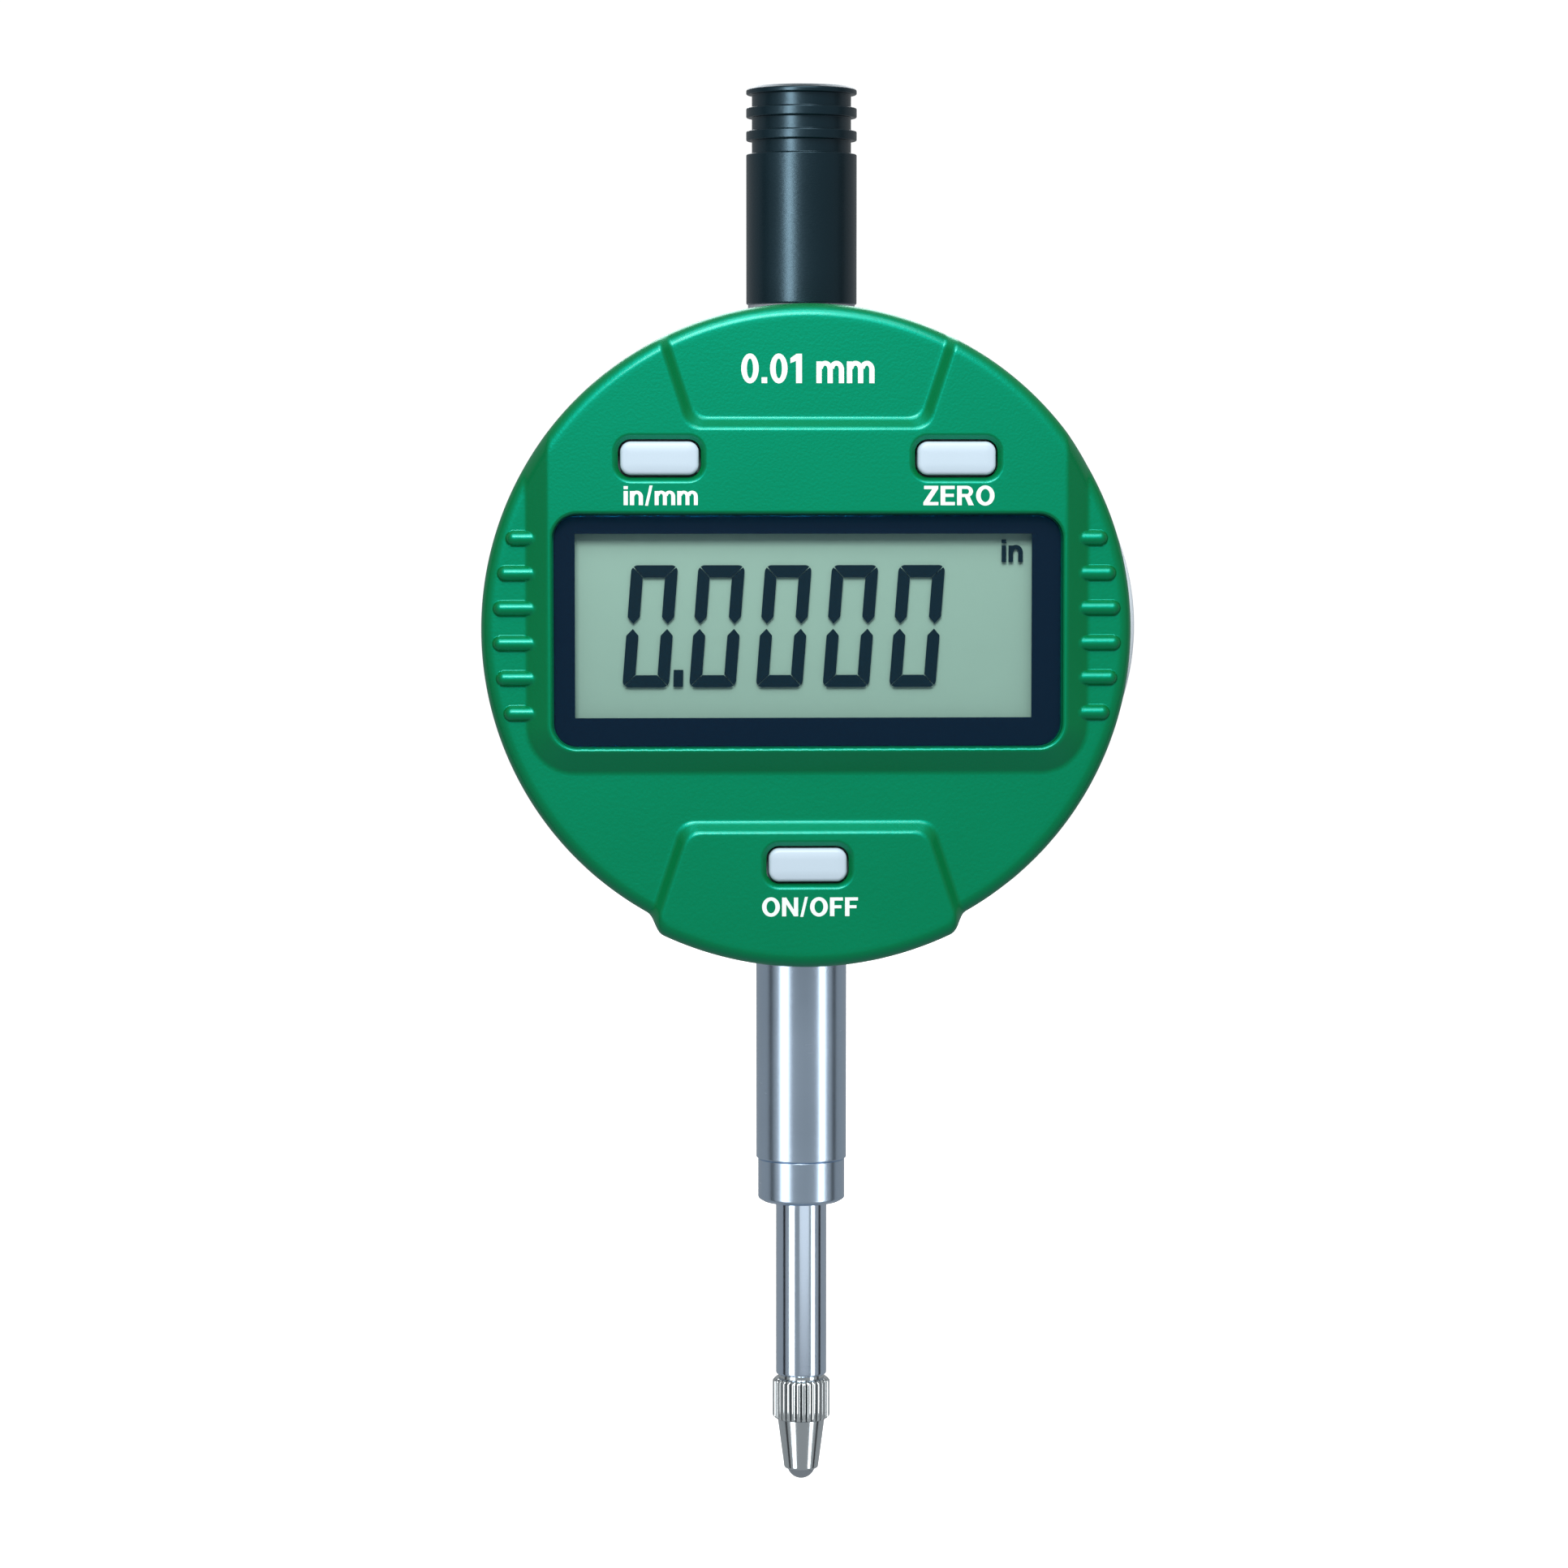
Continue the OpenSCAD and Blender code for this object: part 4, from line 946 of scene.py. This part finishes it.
def digit_bars():
    """The six switched bars of a nought, upright and about its own middle."""
    w, h = digit_w / 2, digit_h / 2
    top = arc(w - corner, h - corner, corner, 45, 90) + arc(corner - w, h - corner, corner, 90, 135)
    top += [(bar - w, h - bar), (w - bar, h - bar)]
    side = [(w - bar, h - bar), *arc(w - corner, h - corner, corner, 45, 0)][::-1]
    side = side[:-1] + [(w - bar, h - bar), (w - bar, 0.8), (w - bar / 2, 0.22), (w, 0.8)]
    bars = [[(sx * (x + mitre / 2), sz * z) for x, z in side] for sx in (1, -1) for sz in (1, -1)]
    return bars + [[(x, sz * (z + mitre / 2)) for x, z in top] for sz in (1, -1)]


def slab(name, outlines, back, front):
    """Thin plates of one or more outlines, from one depth to another."""
    points, faces = [], []
    for line in outlines:
        n, s = len(line), len(points)
        points += laid(line, back) + laid(line, front)
        under, over = range(s, s + n), range(s + n, s + 2 * n)
        faces += [tuple(under)[::-1], tuple(over), *walls(under, over)]
    return meshed(name, points, faces)


segments = [[(digit_first + digit_pitch * i + x + z * lean, digit_z + z) for x, z in line]
            for i in range(5) for line in digit_bars()]
segments.append([(-11.51, -4.87), (-10.68, -4.87), (-10.65, -3.4), (-11.48, -3.4)])
segment_t = 0.02
settle(slab("display_digits", segments, lcd_front - segment_t, lcd_front),
       segment_ink, "lcd", "housing", "lcd_glass")


def plank(x0, z0, x1, z1):
    return [(x0, z0), (x1, z0), (x1, z1), (x0, z1)]


def bow(cx, cz, rx, rz, width, first, last, n=16):
    """Part of an elliptical band, as the round strokes of a letter are."""
    turns = [math.radians(first + (last - first) * k / n) for k in range(n + 1)]
    outside = [(cx + rx * math.cos(a), cz + rz * math.sin(a)) for a in turns]
    inside = [(cx + (rx - width) * math.cos(a), cz + (rz - width * 0.86) * math.sin(a)) for a in turns]
    return outside + inside[::-1]


# Each letter is its width and its strokes, for a capital that is 1 high
letters = {
    "N": (0.76, [plank(0, 0, 0.2, 1), plank(0.56, 0, 0.76, 1), [(0, 1), (0.56, 0), (0.76, 0), (0.2, 1)]]),
    "Z": (0.68, [plank(0.03, 0.83, 0.67, 1), plank(0, 0, 0.68, 0.17),
                 [(0, 0.15), (0.26, 0.15), (0.67, 0.85), (0.41, 0.85)]]),
    "E": (0.65, [plank(0, 0, 0.21, 1), plank(0.1, 0.83, 0.64, 1), plank(0.1, 0.43, 0.6, 0.59),
                 plank(0.1, 0, 0.65, 0.17)]),
    "F": (0.61, [plank(0, 0, 0.21, 1), plank(0.1, 0.83, 0.61, 1), plank(0.1, 0.42, 0.54, 0.58)]),
    "R": (0.76, [plank(0, 0, 0.21, 1), plank(0.1, 0.84, 0.43, 1), plank(0.1, 0.42, 0.43, 0.58),
                 bow(0.43, 0.71, 0.29, 0.29, 0.18, -90, 90),
                 [(0.33, 0.5), (0.52, 0), (0.76, 0), (0.55, 0.5)]]),
    "O": (0.84, [bow(0.42, 0.5, 0.42, 0.52, 0.21, 0, 180), bow(0.42, 0.5, 0.42, 0.52, 0.21, 180, 360)]),
    "/": (0.36, [[(0, -0.03), (0.14, -0.03), (0.36, 1.03), (0.22, 1.03)]]),
    "i": (0.2, [plank(0, 0, 0.2, 0.74), plank(0, 0.84, 0.2, 1)]),
    "n": (0.62, [plank(0, 0, 0.2, 0.74), bow(0.32, 0.44, 0.3, 0.32, 0.2, 0, 170),
                 plank(0.42, 0, 0.62, 0.45)]),
    "m": (0.98, [plank(0, 0, 0.19, 0.74), bow(0.31, 0.46, 0.27, 0.3, 0.185, 0, 170),
                 plank(0.395, 0, 0.58, 0.47),
                 bow(0.71, 0.46, 0.27, 0.3, 0.185, 0, 170), plank(0.795, 0, 0.98, 0.47)]),
    "0": (0.62, [bow(0.31, 0.5, 0.31, 0.51, 0.2, 0, 180), bow(0.31, 0.5, 0.31, 0.51, 0.2, 180, 360)]),
    "1": (0.42, [plank(0.2, 0, 0.41, 1), [(0, 0.68), (0.3, 0.8), (0.3, 1), (0.22, 1), (0, 0.85)]]),
    ".": (0.2, [plank(0, 0, 0.2, 0.2)]),
    " ": (0.3, []),
}
letter_gap, print_t = 0.1, 0.02


def lettering(name, words, width, height, x, z, depth):
    """Plain printed words, scaled to a width and height and laid on the face as thin plates."""
    points, faces, at = [], [], 0.0
    for letter in words:
        advance, strokes = letters[letter]
        for stroke in strokes:
            faces.append(list(range(len(points), len(points) + len(stroke))))
            points += [(at + px, pz) for px, pz in stroke]
        at += advance + letter_gap
    places = [Vector(p) for p in points]
    made, _, triangles, _, _, owners = geometry.delaunay_2d_cdt(places, [], faces, 1, 1e-5)
    triangles = [t for t, owner in zip(triangles, owners) if owner]
    low_x, high_x = min(p.x for p in made), max(p.x for p in made)
    flat = [(x + ((p.x - low_x) / (high_x - low_x) - 0.5) * width, z + (p.y - 0.5) * height) for p in made]
    n = len(flat)
    edges = {(t[k], t[(k + 1) % 3]) for t in triangles for k in range(3)}
    skin = [tuple(t) for t in triangles] + [tuple(n + i for i in t[::-1]) for t in triangles]
    skin += [(a, b, n + b, n + a) for a, b in edges if (b, a) not in edges]
    return meshed(name, laid(flat, depth + print_t) + laid(flat, depth), skin)


settle(lettering("display_unit", "in", 1.83, 1.95, 17.68, 6.8, lcd_front - segment_t),
       segment_ink, "lcd", "housing", "lcd_glass")

# ---- Keys ---------------------------------------------------------------------------------------
# Three pale moulded keys with crowned tops stand in the cover's holes. Each has a flange that the
# cover's ceiling holds back, and a stem that presses the switch on the board.

key_finish = textured("key_plastic", srgb(190, 208, 221), 0.4, size=0.15, depth=0.003, tint=0.02)
flange_back, flange_front, stem_back = 9.45, 10.05, 8.35
key_stem, flange = (2.4, 2.4, 1.2), (key_w + 1.3, key_h + 1.3, 0.3)
for name, (x, z, depth) in keys.items():
    base = [(*key_stem, stem_back), (*key_stem, flange_back), (*flange, flange_back), (*flange, flange_front)]
    key = block(name + "_key_cap", key_w, key_h, key_r, flange_front, depth + key_proud, x, z, soft=0.35,
                crown=0.06, steps=10, base=base)
    settle(key, key_finish, "key_pale", name + "_key", name + "_button")

# ---- Printed words ------------------------------------------------------------------------------
# Pad-printed in white beside the keys and on the badge panel. They only name what each key does and
# the step of the reading.

print_ink = textured("print_ink", srgb(238, 246, 244), 0.5, size=0.12, depth=0.001, tint=0.02)
for name, words, width, height, x, z, depth in (
        ("print_in_mm", "in/mm", 6.32, 1.62, -12.6, 11.57, face_front),
        ("print_zero", "ZERO", 6.1, 1.66, 12.9, 11.57, face_front),
        ("print_on_off", "ON/OFF", 8.26, 1.62, 0.19, -23.76, panel_front),
        ("print_step", "0.01 mm", 11.4, 2.5, 0, 22.4, face_front - badge_drop)):
    settle(lettering(name, words, width, height, x, z, depth - 0.005), print_ink, "key_pale", "housing")

# ---- Works inside the head ----------------------------------------------------------------------
# The display's holder, the circuit board with its pads and parts, the switches, the leaf springs and
# the carriage with its scale are as the solids give them. Each has the finish of its own material.

finished(textured("grey_moulding", srgb(68, 69, 72), 0.5, size=0.15, depth=0.004),
         "lcd_holder", "switch_bodies", "in_mm_plunger", "zero_plunger", "on_off_plunger")
finished(textured("soft_rubber", srgb(96, 88, 88), 0.75, size=0.12, depth=0.008),
         "contact_strips", "stop_washer")
finished(textured("solder_mask", srgb(12, 92, 52), 0.32, size=0.5, depth=0.004, tint=0.12), "main_board")
finished(textured("gold_flash", srgb(228, 186, 110), 0.25, size=0.05, depth=0.001, Metallic=1.0),
         "reader_pads")
finished(textured("chip_resin", srgb(34, 34, 37), 0.55, size=0.06, depth=0.004), "board_components")
finished(textured("leaf_brass", srgb(230, 204, 142), 0.22, size=0.1, depth=0.001, stretch=(1, 1, 12),
                  Metallic=1.0), "battery_contacts")
finished(zinc, "board_screws")
finished(textured("blackened_steel", srgb(44, 45, 48), 0.35, size=0.1, depth=0.001, Metallic=0.8),
         "stem_set_screw", "carriage_screw")
finished(textured("sintered_bronze", srgb(204, 176, 128), 0.4, size=0.08, depth=0.004, Metallic=1.0),
         "upper_bush")
finished(textured("machined_aluminium", srgb(205, 206, 208), 0.3, size=0.06, depth=0.002, stretch=(20, 1, 1),
                  Metallic=1.0), "scale_carriage")
finished(textured("glass_fibre", srgb(172, 130, 74), 0.4, size=0.3, depth=0.003, stretch=(1, 1, 4),
                  tint=0.12), "scale_strip")
finished(stem_steel, "guide_rod")

# ---- Return spring ------------------------------------------------------------------------------
# Twelve turns of drawn wire round the spindle, between the carriage and the upper bush. It is made at rest;
# the share by which it would shorten as the spindle rises is worked out but not used.

spring_steel = ground_steel("spring_steel", srgb(176, 178, 182), 0.24, 0.0004)
spring_low, spring_high = span("return_spring")
wire_r = 0.175
spring_turns, turn_steps, wire_sides = 12, 36, 12
coil_r = spindle_r + 0.2 + wire_r
coil_low, coil_high = spring_low.z + wire_r, spring_high.z - wire_r
rings = []
for i in range(spring_turns * turn_steps + 1):
    a = 2 * math.pi * i / turn_steps
    middle = coil_low + (coil_high - coil_low) * i / (spring_turns * turn_steps)
    rings.append([((coil_r + across) * math.cos(a), (coil_r + across) * math.sin(a), middle + up)
                  for across, up in circle_of(wire_r, wire_sides)])
spring = loft("coil_spring", rings)
settle(spring, spring_steel, "spring_steel", "housing", "return_spring")
spindle_joint = next(j for j in frame["joints"] if j["name"] == "spindle_slide")
spring_anchor = spindle_joint["deforming_nodes"][0]["fixed_end_z_m"]
spring_length = spring_anchor - spring_low.z * MM
(spring_length - spindle_joint["range_m"][1]) / spring_length
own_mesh(spring)

# ---- Floor and light ----------------------------------------------------------------------------
# A plain pale floor under the ball. A key light and a weaker front light stand above, and one lamp behind.
# Two tall strips, a low card and two dark flags give the steel its bands, and the cap has a lamp of its own.

paper = Finish("pale_floor", **{"Base Color": (0.9, 0.9, 0.9), "Roughness": 0.9})
paper.feed(normal=paper.bump(paper.noise(0.4), 0.01))
glow = paper.node("Emission", {}, {"Color": (1, 1, 1), "Strength": 0.85})
paper.surface(paper.node("AddShader", {}, {0: paper.shader, 1: glow}))
floor_r, floor_sides, floor_z = 600, 96, ball_low.z - 0.4
floor_edge = [(x, y, floor_z) for x, y in circle_of(floor_r, floor_sides)]
floor = meshed("pale_floor", [(0, 0, floor_z), *floor_edge],
               [(0, k + 1, (k + 1) % floor_sides + 1) for k in range(floor_sides)])
floor.data.materials.append(paper.material)
floor.visible_glossy = False
floor.visible_diffuse = False
floor.visible_shadow = False

world = bpy.data.worlds.new("studio")
bpy.context.scene.world = world
sky = Nodes(world, "World")
fill = sky.node("Background", {}, {"Color": (0.93, 0.97, 1), "Strength": 0.36})
seen = sky.node("Background", {}, {"Color": (1, 1, 1), "Strength": 1.05})
sky.surface(sky.node("MixShader", {}, {0: sky.node("LightPath", output="Is Camera Ray"), 1: fill, 2: seen}))

head_middle = Vector((0, -10, head_z - 10))


def softbox(name, azimuth, elevation, away, width, height, power, target=head_middle):
    """A rectangular lamp that looks at a target."""
    data = bpy.data.lights.new(name, "AREA")
    data.shape = "RECTANGLE"
    data.size, data.size_y = width * MM, height * MM
    data.energy = power
    return aimed(name, data, away_from(target, azimuth, elevation, away), target)


def flag(name, azimuth, away, width, height):
    """A dark panel that stands on edge beside the object and shows only in reflections."""
    a = math.radians(azimuth)
    centre = away_from(Vector((0, 0, head_z - 40)), azimuth, 0, away)
    side = Vector((math.cos(a), math.sin(a), 0)) * width / 2
    up = Vector((0, 0, height / 2))
    obj = meshed(name, [centre - side - up, centre + side - up, centre + side + up, centre - side + up],
                 [(0, 1, 2, 3)])
    obj.data.materials.append(felt.material)
    obj.visible_camera = False
    obj.visible_diffuse = False
    obj.visible_shadow = False


felt = textured("black_felt", (0.01, 0.01, 0.011), 0.9, size=1, depth=0.1)
softbox("key_light", 2, 50, 430, 300, 240, 0.98)
front_light = softbox("front_light", -7, 34, 450, 170, 150, 1.35)
softbox("back_light", 180, 40, 450, 300, 300, 1.2)


def lit_pieces(name, *pieces, state="INCLUDE"):
    """A group of pieces that a lamp lights alone, or leaves out."""
    group = bpy.data.collections.new(name)
    for piece in pieces:
        group.objects.link(piece)
    for member in group.collection_objects:
        member.light_linking.link_state = state
    return group


front_light.light_linking.receiver_collection = lit_pieces("not_the_cap", cap, state="EXCLUDE")
cap_light = softbox("cap_light", -28, 8, 430, 90, 420, 1.9)
cap_light.light_linking.receiver_collection = lit_pieces("cap_pieces", cap)
low_card = softbox("low_card", 12, -6.8, 430, 340, 75, 0.062, target=Vector((0, 0, nose_low.z)))
low_card.light_linking.receiver_collection = lit_pieces("spindle_pieces", spindle)
polished = lit_pieces("polished_pieces", stem, nose, spindle, knurl, neck, cone, ball)
for name, azimuth, width, power in (("left_strip", -47, 190, 0.95), ("right_strip", 54, 125, 0.75)):
    strip = softbox(name, azimuth, 0, 430, width, 640, power)
    strip.light_linking.receiver_collection = polished
flag("flag_left", -86, 300, 70, 520)
flag("flag_right", 90, 300, 70, 520)
bpy.context.scene.view_settings.view_transform = "Standard"
